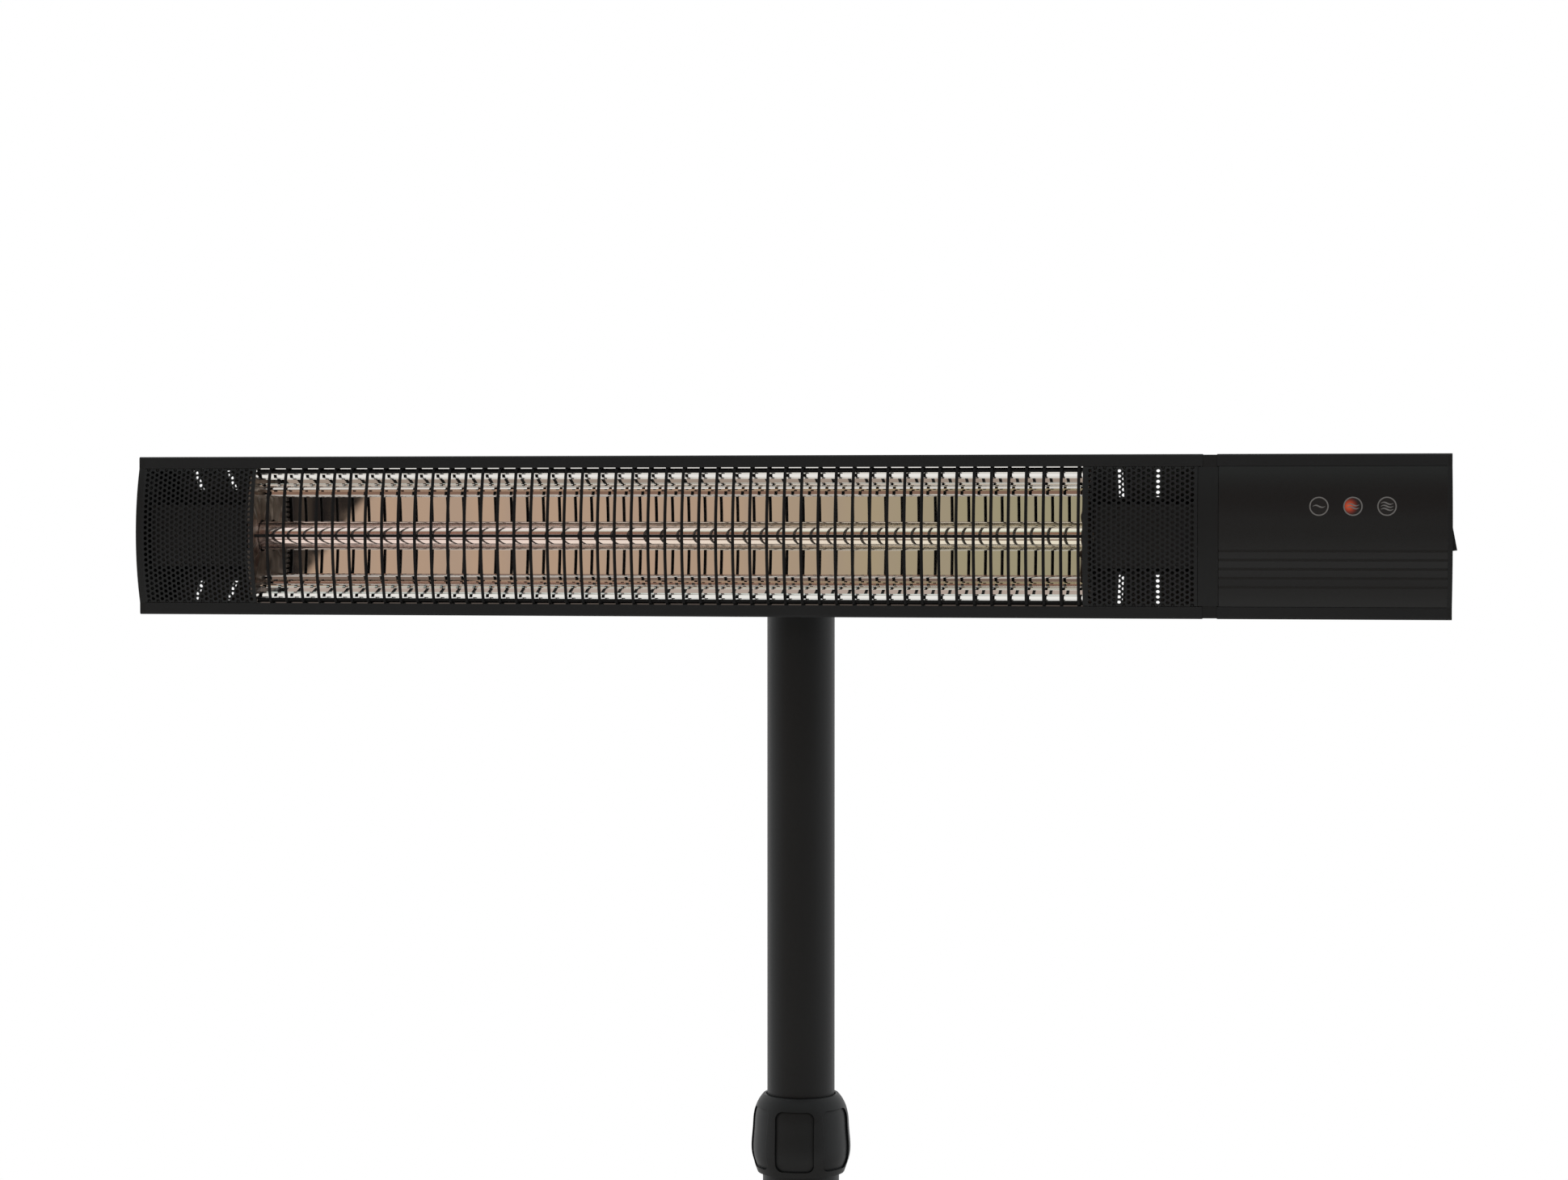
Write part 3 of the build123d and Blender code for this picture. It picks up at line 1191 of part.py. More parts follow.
def rocker():
    """Paddle with two stub pins, drawn in the pose with its upper end flush."""
    profile = [(ROCKER_HEIGHT, ROCKER_HALF_L), (ROCKER_HEIGHT, -ROCKER_HALF_L),
               (0, -ROCKER_HALF_L + ROCKER_SIDE_GAP), (-ROCKER_SKIRT, -ROCKER_FOOT_HALF_L),
               (-ROCKER_SKIRT, ROCKER_FOOT_HALF_L), (0, ROCKER_HALF_L - ROCKER_SIDE_GAP)]
    plane = Plane(origin=head_point(ROCKER_PIVOT_S, SWITCH_U + ROCKER_HALF_W, 0), x_dir=(1, 0, 0),
                  z_dir=(0, -1, 0))
    paddle = extrude(plane * make_face(Polyline(*profile, close=True)), 2 * ROCKER_HALF_W)
    paddle += rocker_pin(ROCKER_PIN_R, ROCKER_HALF_W + ROCKER_PIN_OUT)
    pivot = Axis(head_point(ROCKER_PIVOT_S, SWITCH_U, 0), (0, 1, 0))
    return paddle.rotate(pivot, -ROCKER_TILT)


def switch_blades():
    right = switch_floor_s()
    blades = []
    for side in (1, -1):
        v = side * BLADE_HALF_GAP
        blades.append(head_box((right - BLADE_L, right), (SWITCH_U - BLADE_W / 2, SWITCH_U + BLADE_W / 2),
                               (v - BLADE_T / 2, v + BLADE_T / 2)))
    return group(blades)


# ---------------------------------------------------------------- the whole tower
PIECES = [
    base_cover, base_weight, bottom_plate, rubber_feet, pole_socket, base_bolts, base_nuts,
    lower_tube, threaded_sleeve, collet, lock_nut,
    upper_tube, glide_bush, mast_head, mast_screws, tilt_washers,
    head_bracket, bracket_screws, bracket_nuts, tilt_stud, tilt_knob,
    heater_housing, left_end_cap, housing_screws, perforated_cover_left, perforated_cover_right,
    wire_guard, reflector, reflector_end_left, reflector_end_right,
    quartz_tube, heating_ribbon, lamp_cap_left, lamp_cap_right, lamp_holder_left, lamp_holder_right,
    lamp_leads, lead_grommets, joint_frame, joint_rivets, heat_shield, thermal_cutout,
    control_housing, control_panel, indicator_window_low, indicator_window_medium,
    indicator_window_high, indicator_lights, circuit_board, board_screws, board_relays,
    board_power_parts, tip_over_switch, remote_receiver, terminal_block, cable_gland,
    right_end_cap, switch_body, rocker, switch_blades,
]

os.makedirs("parts", exist_ok=True)
for piece in PIECES:
    export_step(piece(), f"parts/{piece.__name__}.step")
print(len(PIECES), "nodes")
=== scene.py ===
"""Looks of the infrared patio heater tower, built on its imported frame.

Blender works in metres with +Z up. Sizes below are in millimetres and are scaled by MM where they
are used. Places in the head are (s, u, v): s along X, u backwards from the plane of the housing's
two flat lips, v up from the head's mid line.
"""
import json
import math

import bmesh
import bpy
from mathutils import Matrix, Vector


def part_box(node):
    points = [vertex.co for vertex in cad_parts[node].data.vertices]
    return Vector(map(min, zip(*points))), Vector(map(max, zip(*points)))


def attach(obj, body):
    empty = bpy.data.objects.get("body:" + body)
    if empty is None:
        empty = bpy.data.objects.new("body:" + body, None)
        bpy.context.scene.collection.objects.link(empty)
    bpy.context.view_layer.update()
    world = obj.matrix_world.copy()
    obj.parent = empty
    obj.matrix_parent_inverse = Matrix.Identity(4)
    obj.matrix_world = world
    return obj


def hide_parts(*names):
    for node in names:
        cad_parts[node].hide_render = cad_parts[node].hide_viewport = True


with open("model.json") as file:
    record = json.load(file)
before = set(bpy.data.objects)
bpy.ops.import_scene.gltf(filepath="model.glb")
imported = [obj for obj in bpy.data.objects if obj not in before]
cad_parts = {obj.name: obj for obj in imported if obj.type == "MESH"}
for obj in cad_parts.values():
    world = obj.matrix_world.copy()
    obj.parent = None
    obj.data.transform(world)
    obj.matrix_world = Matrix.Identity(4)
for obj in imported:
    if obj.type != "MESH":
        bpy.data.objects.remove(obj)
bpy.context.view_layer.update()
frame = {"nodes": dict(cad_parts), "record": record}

MM = 0.001

# ---------------------------------------------------------------- camera, as in the photograph
CAMERA_PLACE = (0.3165, -2.131, 1.615)
CAMERA_TURN = 8.75         # degrees to the left of straight ahead
CAMERA_DROP = 1.29         # degrees below the horizon
CAMERA_LENS = 74.2
SENSOR_WIDTH = 36.0

# ---------------------------------------------------------------- the head, read from the frame
HOUSING_LOW, HOUSING_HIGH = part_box("heater_housing")
LIP_Y = HOUSING_LOW.y / MM
HEAD_Z = (HOUSING_LOW.z + HOUSING_HIGH.z) / 2 / MM
HOUSING_HALF_H = (HOUSING_HIGH.z - HOUSING_LOW.z) / 2 / MM
HOUSING_DEPTH = HOUSING_HIGH.y / MM - LIP_Y
BULGE = LIP_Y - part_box("perforated_cover_left")[0].y / MM
LIP_V = 43.65              # half height of the opening between the lips
ARC_R = (LIP_V**2 + BULGE**2) / (2 * BULGE)
ARC_U = ARC_R - BULGE


def head_point(s, u, v):
    return Vector((s, LIP_Y + u, HEAD_Z + v)) * MM


def s_span(node):
    low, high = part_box(node)
    return low.x / MM, high.x / MM


def front_u(v):
    """Depth of the bowed front at the height v."""
    return ARC_U - math.sqrt(ARC_R**2 - v**2)


# ---------------------------------------------------------------- studio
FLOOR_R = 3.2
FLOOR_SHADOW_R = 1.1       # inside this the floor takes shadow,
FLOOR_WHITE_R = 2.56       # and from there out to here it fades to white
FLOOR_GREY = 0.82
# how the mirror shows the floor, by metres ahead of the pole: the darker bands from 0.25 to 0.6 m are painted
# shade of the heater, and the far brown band stands in for the room
FLOOR_BANDS = ((0.0, (0.60, 0.58, 0.56)), (0.25, (0.14, 0.12, 0.10)), (0.39, (0.14, 0.12, 0.10)),
               (0.44, (0.44, 0.35, 0.29)), (0.60, (0.44, 0.35, 0.29)), (0.90, (0.88, 0.85, 0.80)),
               (2.2, (0.88, 0.86, 0.82)), (2.6, (0.20, 0.14, 0.11)), (3.2, (0.20, 0.14, 0.11)))

# The room that the mirror shows, partly found by a fit to the photograph's window. Heights are sines of
# the angle above the heater's level, and sides are slopes to the right of straight ahead.
ROOM_BANDS = ((-0.47, (0.20, 0.14, 0.11)), (-0.42, (0.20, 0.14, 0.11)), (-0.37, (0.90, 0.88, 0.85)),
              (-0.14, (0.90, 0.88, 0.85)), (-0.08, (0.50, 0.34, 0.24)), (0.08, (0.50, 0.34, 0.24)),
              (0.12, (0.92, 0.91, 0.88)), (0.18, (0.92, 0.91, 0.88)), (0.21, (0.10, 0.08, 0.07)),
              (0.235, (0.10, 0.08, 0.07)), (0.26, (0.25, 0.13, 0.09)), (0.50, (0.23, 0.14, 0.10)),
              (0.64, (0.66, 0.76, 0.71)), (0.82, (1.0, 1.0, 1.0)))
ROOM_ENDS_AT = (0.75, 0.82)
ROOM_STARTS_AHEAD = (0.30, 0.55)
WALL_PINK = (0.50, 0.345, 0.245)
WALL_OLIVE = (0.36, 0.325, 0.20)
WALL_DARK = (0.050, 0.045, 0.040)
WALL_FOLD = (0.37, 0.29, 0.24)
WALL_FOLDS = 0.30          # how strongly the curtain's folds show
WALL_FOLD_SCALE = 90.0
WALL_FOLD_SPAN = (0.35, 0.65)
WALL_TURNS_AT = (-0.20, -0.07)
WALL_ENDS_AT = (-0.05, -0.01)
WALL_FADES_AT = (0.03, 0.15)
DOORWAY_DARK = (0.016, 0.013, 0.012)
DOORWAY_STREAK = (0.060, 0.045, 0.034)
DOORWAY_STREAK_SCALE = 160.0
DOORWAY_STREAK_SPAN = (0.45, 0.7)
DOORWAY_SIDE = -0.294
DOORWAY_SLOPE = 0.9
DOORWAY_BLUR = 0.002
DOORWAY_ENDS_AT = (-0.95, -0.80)
DOORWAY_HALF_RISE = (0.04, 0.08)
# what is seen past the room
SURROUND_BACK = (1.0, 1.0, 1.0)
SURROUND_FRONT = (0.85, 0.85, 0.85)
SURROUND_TURNS_AHEAD = (-0.2, 0.9)
OVERHEAD_GREY = (0.48, 0.39, 0.34)
OVERHEAD_AT = (0.90, 0.93)
OVERHEAD_AHEAD = (0.05, 0.12)
WHITE = (1.0, 1.0, 1.0)


def rgba(colour):
    return (*colour, 1.0)


class Graph:
    """A node tree with short calls for the nodes that are needed here."""

    def __init__(self, tree):
        self.tree = tree

    def node(self, kind, inputs=(), **settings):
        made = self.tree.nodes.new(kind)
        for key, value in settings.items():
            setattr(made, key, value)
        for key, value in dict(inputs).items():
            self.feed(made.inputs[key], value)
        return made

    def feed(self, socket, value):
        if isinstance(value, bpy.types.NodeSocket):
            self.tree.links.new(value, socket)
        else:
            socket.default_value = value

    def math(self, operation, *values):
        made = self.node("ShaderNodeMath", operation=operation)
        for socket, value in zip(made.inputs, values):
            self.feed(socket, value)
        return made.outputs[0]

    def remap(self, value, low, high, to_low=0.0, to_high=1.0, smooth=False):
        kind = "SMOOTHSTEP" if smooth else "LINEAR"
        inputs = {"Value": value, "From Min": low, "From Max": high, "To Min": to_low, "To Max": to_high}
        return self.node("ShaderNodeMapRange", inputs, interpolation_type=kind).outputs[0]

    def mix(self, factor, a, b):
        made = self.node("ShaderNodeMix", data_type="RGBA")
        self.feed(made.inputs[0], factor)
        self.feed(made.inputs[6], a)
        self.feed(made.inputs[7], b)
        return made.outputs[2]

    def ramp(self, value, stops):
        """Colours run evenly from stop to stop; the first and last stops are the ends of the range."""
        low, high = stops[0][0], stops[-1][0]
        made = self.node("ShaderNodeValToRGB", {"Fac": self.remap(value, low, high)})
        elements = made.color_ramp.elements
        for _ in stops[2:]:
            elements.new(0.5)
        for element, (at, colour) in zip(elements, stops):
            element.position = (at - low) / (high - low)
            element.color = rgba(colour)
        return made.outputs["Color"]

    def split(self, vector):
        return self.node("ShaderNodeSeparateXYZ", {0: vector}).outputs

    def place(self, stretch=(1.0, 1.0, 1.0)):
        """The piece's own coordinates in metres, so the grain rides with it."""
        coordinates = self.node("ShaderNodeTexCoord").outputs["Object"]
        if stretch == (1.0, 1.0, 1.0):
            return coordinates
        return self.node("ShaderNodeMapping", {"Vector": coordinates, "Scale": stretch}).outputs[0]

    def noise(self, size_mm, detail=3.0, stretch=(1.0, 1.0, 1.0)):
        inputs = {"Vector": self.place(stretch), "Scale": 1 / (size_mm * MM), "Detail": detail}
        return self.node("ShaderNodeTexNoise", inputs).outputs["Fac"]

    def streaks(self, along, scale, detail):
        """Noise that changes in one direction only."""
        inputs = {"W": along, "Scale": scale, "Detail": detail}
        return self.node("ShaderNodeTexNoise", inputs, noise_dimensions="1D").outputs["Fac"]

    def cells(self, size_mm):
        inputs = {"Vector": self.place(), "Scale": 1 / (size_mm * MM)}
        return self.node("ShaderNodeTexVoronoi", inputs).outputs["Distance"]

    def bump(self, height, depth_mm, under=None):
        inputs = {"Height": height, "Distance": depth_mm * MM, "Strength": 1.0}
        if under:
            inputs["Normal"] = under
        return self.node("ShaderNodeBump", inputs).outputs[0]

    def round_edges(self, radius_mm):
        return self.node("ShaderNodeBevel", {"Radius": radius_mm * MM}, samples=4).outputs[0]


def studio_camera():
    data = bpy.data.cameras.new("camera")
    data.lens = CAMERA_LENS
    data.sensor_width = SENSOR_WIDTH
    data.clip_start = 0.05
    data.clip_end = 100.0
    camera = bpy.data.objects.new("camera", data)
    camera.location = CAMERA_PLACE
    camera.rotation_euler = (math.radians(90 - CAMERA_DROP), 0, math.radians(CAMERA_TURN))
    bpy.context.scene.collection.objects.link(camera)
    bpy.context.scene.camera = camera


def studio_world():
    """White to the camera. All else sees a pale surround, with a made-up room ahead of the heater."""
    world = bpy.data.worlds.new("studio")
    bpy.context.scene.world = world
    world.use_nodes = True
    graph = Graph(world.node_tree)
    world.node_tree.nodes.clear()
    x, y, rise = graph.split(graph.node("ShaderNodeTexCoord").outputs["Generated"])
    ahead = graph.math("MULTIPLY", y, -1.0)
    side = graph.math("DIVIDE", x, graph.math("MAXIMUM", ahead, 0.001))
    height = graph.math("ABSOLUTE", rise)
    room = graph.mix(graph.remap(height, *WALL_FADES_AT, 1.0, 0.0), graph.ramp(rise, ROOM_BANDS),
                     room_wall(graph, side, rise, height))
    seen = graph.math("MULTIPLY", graph.remap(height, *ROOM_ENDS_AT, 1.0, 0.0, smooth=True),
                      graph.remap(ahead, *ROOM_STARTS_AHEAD, smooth=True))
    surround = graph.mix(graph.remap(ahead, *SURROUND_TURNS_AHEAD), rgba(SURROUND_BACK), rgba(SURROUND_FRONT))
    overhead = graph.math("MULTIPLY", graph.remap(rise, *OVERHEAD_AT, smooth=True),
                          graph.remap(ahead, *OVERHEAD_AHEAD, smooth=True))
    surround = graph.mix(overhead, surround, rgba(OVERHEAD_GREY))
    path = graph.node("ShaderNodeLightPath")
    lit = graph.node("ShaderNodeBackground", {"Color": graph.mix(seen, surround, room), "Strength": 1.0})
    white = graph.node("ShaderNodeBackground", {"Color": rgba(WHITE), "Strength": 1.0})
    chosen = graph.node("ShaderNodeMixShader", {0: path.outputs["Is Camera Ray"],
                                                1: lit.outputs[0], 2: white.outputs[0]})
    graph.node("ShaderNodeOutputWorld", {"Surface": chosen.outputs[0]})


def room_wall(graph, side, rise, height):
    """The far wall: pink with a folded curtain, then olive, then dark, and a doorway far to the left."""
    wall = graph.mix(graph.remap(side, *WALL_TURNS_AT, smooth=True), rgba(WALL_PINK), rgba(WALL_OLIVE))
    folds = graph.streaks(side, WALL_FOLD_SCALE, 1.0)
    wall = graph.mix(graph.remap(folds, *WALL_FOLD_SPAN, 0.0, WALL_FOLDS), wall, rgba(WALL_FOLD))
    wall = graph.mix(graph.remap(side, *WALL_ENDS_AT, smooth=True), wall, rgba(WALL_DARK))
    streaks = graph.streaks(side, DOORWAY_STREAK_SCALE, 2.0)
    dark = graph.mix(graph.remap(streaks, *DOORWAY_STREAK_SPAN), rgba(DOORWAY_DARK), rgba(DOORWAY_STREAK))
    return graph.mix(doorway(graph, side, rise, height), wall, dark)


def doorway(graph, side, rise, height):
    """Where the dark doorway shows, with its slanted edge."""
    edge = graph.math("ADD", side, graph.math("MULTIPLY", rise, -DOORWAY_SLOPE))
    inside = graph.remap(edge, DOORWAY_SIDE - DOORWAY_BLUR, DOORWAY_SIDE + DOORWAY_BLUR, 1.0, 0.0,
                         smooth=True)
    near_level = graph.remap(height, *DOORWAY_HALF_RISE, 1.0, 0.0, smooth=True)
    near_front = graph.remap(side, *DOORWAY_ENDS_AT, smooth=True)
    return graph.math("MULTIPLY", graph.math("MULTIPLY", inside, near_level), near_front)


def studio_floor():
    """A pale round floor that fades to white at its rim. Glossy pieces see made-up bands there instead, with
    painted shade near the pole.
    """
    mesh = bpy.data.meshes.new("floor")
    shape = bmesh.new()
    bmesh.ops.create_circle(shape, cap_ends=True, segments=96, radius=FLOOR_R)
    shape.to_mesh(mesh)
    shape.free()
    floor = bpy.data.objects.new("floor", mesh)
    bpy.context.scene.collection.objects.link(floor)
    material, graph, sockets = shader("pale_floor", roughness=0.9, specular=0.0)
    nodes = material.node_tree.nodes
    sockets["Base Color"].default_value = (FLOOR_GREY, FLOOR_GREY, FLOOR_GREY, 1.0)
    distance = graph.node("ShaderNodeVectorMath", {0: graph.place()}, operation="LENGTH").outputs["Value"]
    path = graph.node("ShaderNodeLightPath")
    faded = graph.math("MULTIPLY", graph.remap(distance, FLOOR_SHADOW_R, FLOOR_WHITE_R, smooth=True),
                       path.outputs["Is Camera Ray"])
    white = graph.node("ShaderNodeEmission", {"Color": rgba(WHITE), "Strength": 1.0})
    mixed = graph.node("ShaderNodeMixShader", {0: faded, 1: nodes["Principled BSDF"].outputs[0],
                                               2: white.outputs[0]})
    # glossy rays see these bands instead of the floor, painted shade near the pole included
    ahead = graph.math("MULTIPLY", graph.split(graph.place())[1], -1.0)
    bands = graph.node("ShaderNodeEmission", {"Color": graph.ramp(ahead, FLOOR_BANDS), "Strength": 1.0})
    shown = graph.node("ShaderNodeMixShader", {0: path.outputs["Is Glossy Ray"], 1: mixed.outputs[0],
                                               2: bands.outputs[0]})
    graph.feed(nodes["Material Output"].inputs["Surface"], shown.outputs[0])
    mesh.materials.append(material)


# ---------------------------------------------------------------- materials
SOCKETS = {"metallic": "Metallic", "specular": "Specular IOR Level", "roughness": "Roughness",
           "coat": "Coat Weight", "coat_roughness": "Coat Roughness", "subsurface": "Subsurface Weight"}
NOISE_SPAN = (0.3, 0.7)    # most of a noise's values lie between these
PANEL_BLACK = (0.0058, 0.0074, 0.0088)
# powder coat, paint and moulded plastic: colour, roughness, the grain's size and depth in mm, and the rest
COATS = {
    "satin_black_metal": ((0.0085, 0.0105, 0.0122), 0.50, 0.5, 0.012, {"specular": 0.30}),
    "satin_black_tube": ((0.0092, 0.0102, 0.0110), 0.46, 0.6, 0.008, {"specular": 0.24}),
    "black_plastic": ((0.0062, 0.0078, 0.0090), 0.48, 0.35, 0.015, {"specular": 0.30}),
    "panel_plastic": (PANEL_BLACK, 0.32, 0.3, 0.004, {"specular": 0.38}),
    "guard_wire": ((0.0100, 0.0105, 0.0112), 0.50, 0.4, 0.006, {"specular": 0.12, "edge_mm": 0.1}),
    "cast_black": ((0.012, 0.012, 0.012), 0.55, 1.2, 0.06, {"specular": 0.35}),
    "cast_aluminium": ((0.014, 0.014, 0.015), 0.50, 0.9, 0.04, {"specular": 0.4}),
    "heat_dulled_steel": ((0.085, 0.085, 0.084), 0.60, 1.5, 0.01,
                          {"specular": 0.3, "edge_mm": 0.2, "spread": 0.2}),
    "rubber": ((0.018, 0.018, 0.018), 0.75, 0.8, 0.03, {"specular": 0.25}),
    "nylon": ((0.62, 0.60, 0.55), 0.45, 0.6, 0.01, {"spread": 0.04, "subsurface": 0.05}),
    "ceramic": ((0.72, 0.70, 0.64), 0.42, 0.5, 0.02, {"spread": 0.04}),
    "silicone": ((0.06, 0.055, 0.05), 0.5, 0.6, 0.01, {"spread": 0.08}),
    "board_green": ((0.03, 0.16, 0.07), 0.35, 3.0, 0.02, {"spread": 0.25}),
    "relay_blue": ((0.03, 0.08, 0.26), 0.4, 0.5, 0.01, {}),
    "led": ((0.6, 0.18, 0.08), 0.15, 0.8, 0.002, {}),
    "white_plastic": ((0.70, 0.70, 0.68), 0.45, 0.5, 0.01, {"spread": 0.03}),
    "print_grey": ((0.185, 0.185, 0.185), 0.5, 0.3, 0.002, {"spread": 0.05}),
}
# plated metal: colour, roughness, the streaks' size in mm and how they are stretched
METALS = {
    "zinc_steel": ((0.58, 0.58, 0.56), 0.34, 0.8, (1.0, 1.0, 0.2)),
    "dark_screws": ((0.035, 0.035, 0.037), 0.40, 0.8, (0.2, 1.0, 1.0)),
    "brass": ((0.72, 0.58, 0.30), 0.28, 0.6, (1.0, 0.3, 1.0)),
}
COAT_MOTTLE_MM = 40
COAT_CONTRAST = 0.05       # the grain's roughness, either way
METAL_MOTTLE_MM = 6
METAL_SPREAD = 0.1
METAL_CONTRAST = 0.08
METAL_EDGE_MM = 0.2
STREAK_DEPTH = 0.004

# painted light: the grey inside the housings, which brightens what shows through the covers' holes
INSIDE_PAINTED_LIGHT_GREY = (0.28, 0.28, 0.27)
SHEET_MID = 0.75           # middle of the housing's wall, in from its outside
SLANT_U = 0.6585           # outward normal of the slanted walls behind the flat ones
SLANT_V = 0.7526
SLANT_AT = 60.21

MIRROR_COLOUR = (0.88, 0.875, 0.86)
MIRROR_ROUGHNESS = (0.01, 0.035)
MIRROR_SPREAD = 0.02
MIRROR_MOTTLE_MM = 30
MIRROR_HAZE_MM = 9
MIRROR_HAZE_SPAN = (0.35, 0.8)
MIRROR_WAVE_MM = 60
MIRROR_WAVE_DEPTH = 0.035
TARNISH_SOOTY = (0.06, 0.045, 0.04)
TARNISH_DARK = (0.08, 0.06, 0.05)
TARNISH_LIGHT = (0.28, 0.23, 0.19)
TARNISH_PATCH_MM = 16
TARNISH_PATCH_SPAN = (0.4, 0.6)
TARNISH_GRAIN_MM = 5.0
TARNISH_ROUGHNESS = (0.32, 0.40)
SOOT = (0.012, 0.011, 0.010)
SOOT_U = (-2.5, -1.0)      # the soot ends between these depths
WORN_EDGE = (0.32, 0.31, 0.30)
WORN_V = (9.0, 29.0)       # the front edge is worn bright between these heights

# the turn from rose to straw along the tube is a painted tint of its reflections, which shift from pink to
# yellow
QUARTZ_ROSE = (0.96, 0.79, 0.74)
QUARTZ_STRAW = (0.93, 0.87, 0.72)
QUARTZ_TURNS_AT = (-0.25, 0.20)
QUARTZ_ROUGHNESS = (0.02, 0.05)
QUARTZ_HAZE_MM = 14
CARBON_DARK = (0.02, 0.018, 0.016)
CARBON_LIGHT = (0.08, 0.07, 0.06)
CARBON_ROUGHNESS = (0.45, 0.6)
CARBON_WEAVE_SCALE = 1400.0
CARBON_WEAVE_DEPTH = 0.05
CEMENT_DARK = (0.33, 0.32, 0.30)
CEMENT_LIGHT = (0.55, 0.54, 0.51)
CEMENT_ROUGHNESS = (0.85, 0.95)
CEMENT_SPECKLE_MM = 3
CEMENT_PORE_MM = 2.5
CEMENT_PORE_DEPTH = 0.15
WINDOW_ROUGHNESS = (0.30, 0.36)
WINDOW_GRAIN_MM = 0.8
WINDOW_SPREAD = 0.1
WINDOW_MOTTLE_MM = 8
GLOW_OFFSET = (-2.4, 0.2)  # from the window's centre, right and up
GLOW_R = 6.6
GLOW_EDGE = (0.20, 0.012, 0.008)
GLOW_CORE = (0.50, 0.062, 0.014)


def shader(name, **constants):
    """A new material whose constant values stand on the shader's own sockets."""
    material = bpy.data.materials.new(name)
    material.use_nodes = True
    sockets = material.node_tree.nodes["Principled BSDF"].inputs
    for key, value in constants.items():
        sockets[SOCKETS[key]].default_value = value
    return material, Graph(material.node_tree), sockets


def two_tones(graph, colour, spread, size_mm):
    """The colour, mottled a little lighter and darker."""
    dark = rgba([c * (1 - spread) for c in colour])
    light = rgba([c * (1 + spread) for c in colour])
    return graph.mix(graph.noise(size_mm), dark, light)


def coating(name, colour, roughness, grain_mm, depth_mm, spread=0.15, edge_mm=0.3, **constants):
    """A fine grain over a slight mottle."""
    material, graph, sockets = shader(name, **constants)
    graph.feed(sockets["Base Color"], two_tones(graph, colour, spread, COAT_MOTTLE_MM))
    grain = graph.noise(grain_mm, detail=2.0)
    graph.feed(sockets["Roughness"], graph.remap(grain, *NOISE_SPAN, roughness - COAT_CONTRAST,
                                                 roughness + COAT_CONTRAST))
    graph.feed(sockets["Normal"], graph.bump(grain, depth_mm, graph.round_edges(edge_mm)))
    return material


def paint_light_inside(material):
    """Paints light inside the head's housings: the powder coat turns a lighter grey there, so the covers'
    holes look lit.
    """
    graph = Graph(material.node_tree)
    colour = material.node_tree.nodes["Principled BSDF"].inputs["Base Color"]
    _, y, z = graph.split(graph.place())
    u = graph.math("SUBTRACT", y, LIP_Y * MM)
    v = graph.math("ABSOLUTE", graph.math("SUBTRACT", z, HEAD_Z * MM))
    slant = graph.math("ADD", graph.math("MULTIPLY", u, SLANT_U), graph.math("MULTIPLY", v, SLANT_V))
    inside = graph.math("LESS_THAN", slant, SLANT_AT * MM)
    for relation, value, limit in (("GREATER_THAN", u, SHEET_MID),
                                   ("LESS_THAN", u, HOUSING_DEPTH - SHEET_MID),
                                   ("LESS_THAN", v, HOUSING_HALF_H - SHEET_MID)):
        inside = graph.math("MULTIPLY", inside, graph.math(relation, value, limit * MM))
    graph.feed(colour, graph.mix(inside, colour.links[0].from_socket, rgba(INSIDE_PAINTED_LIGHT_GREY)))


def bare_metal(name, colour, roughness, streak_mm, stretch):
    """Plated metal with drawn streaks."""
    material, graph, sockets = shader(name, metallic=1.0)
    graph.feed(sockets["Base Color"], two_tones(graph, colour, METAL_SPREAD, METAL_MOTTLE_MM))
    streaks = graph.noise(streak_mm, stretch=stretch)
    graph.feed(sockets["Roughness"], graph.remap(streaks, *NOISE_SPAN, roughness - METAL_CONTRAST,
                                                 roughness + METAL_CONTRAST))
    graph.feed(sockets["Normal"], graph.bump(streaks, STREAK_DEPTH, graph.round_edges(METAL_EDGE_MM)))
    return material


def polished_sheet():
    """Polished aluminium sheet, very slightly wavy."""
    material, graph, sockets = shader("mirror_aluminium", metallic=1.0)
    graph.feed(sockets["Base Color"], two_tones(graph, MIRROR_COLOUR, MIRROR_SPREAD, MIRROR_MOTTLE_MM))
    haze = graph.noise(MIRROR_HAZE_MM, detail=4.0)
    graph.feed(sockets["Roughness"], graph.remap(haze, *MIRROR_HAZE_SPAN, *MIRROR_ROUGHNESS))
    graph.feed(sockets["Normal"], graph.bump(graph.noise(MIRROR_WAVE_MM, detail=1.0), MIRROR_WAVE_DEPTH))
    return material


def creased_metal(name, dark, light, edge):
    """The same sheet, tarnished by heat where it is pleated round the lamp, and sooty at its front edge."""
    material, graph, sockets = shader(name, metallic=1.0)
    _, y, z = graph.split(graph.place())
    patches = graph.remap(graph.noise(TARNISH_PATCH_MM, detail=1.0), *TARNISH_PATCH_SPAN)
    height = graph.math("ABSOLUTE", graph.math("SUBTRACT", z, HEAD_Z * MM))
    worn = graph.math("MULTIPLY", graph.remap(height, WORN_V[0] * MM, (WORN_V[0] + 1) * MM),
                      graph.remap(height, (WORN_V[1] - 1) * MM, WORN_V[1] * MM, 1.0, 0.0))
    near_edge = graph.remap(y, (LIP_Y + SOOT_U[0]) * MM, (LIP_Y + SOOT_U[1]) * MM, 1.0, 0.0)
    graph.feed(sockets["Base Color"], graph.mix(near_edge, graph.mix(patches, rgba(dark), rgba(light)),
                                                graph.mix(worn, rgba(SOOT), rgba(edge))))
    grain = graph.noise(TARNISH_GRAIN_MM, detail=1.0)
    graph.feed(sockets["Roughness"], graph.remap(grain, *NOISE_SPAN, *TARNISH_ROUGHNESS))
    return material


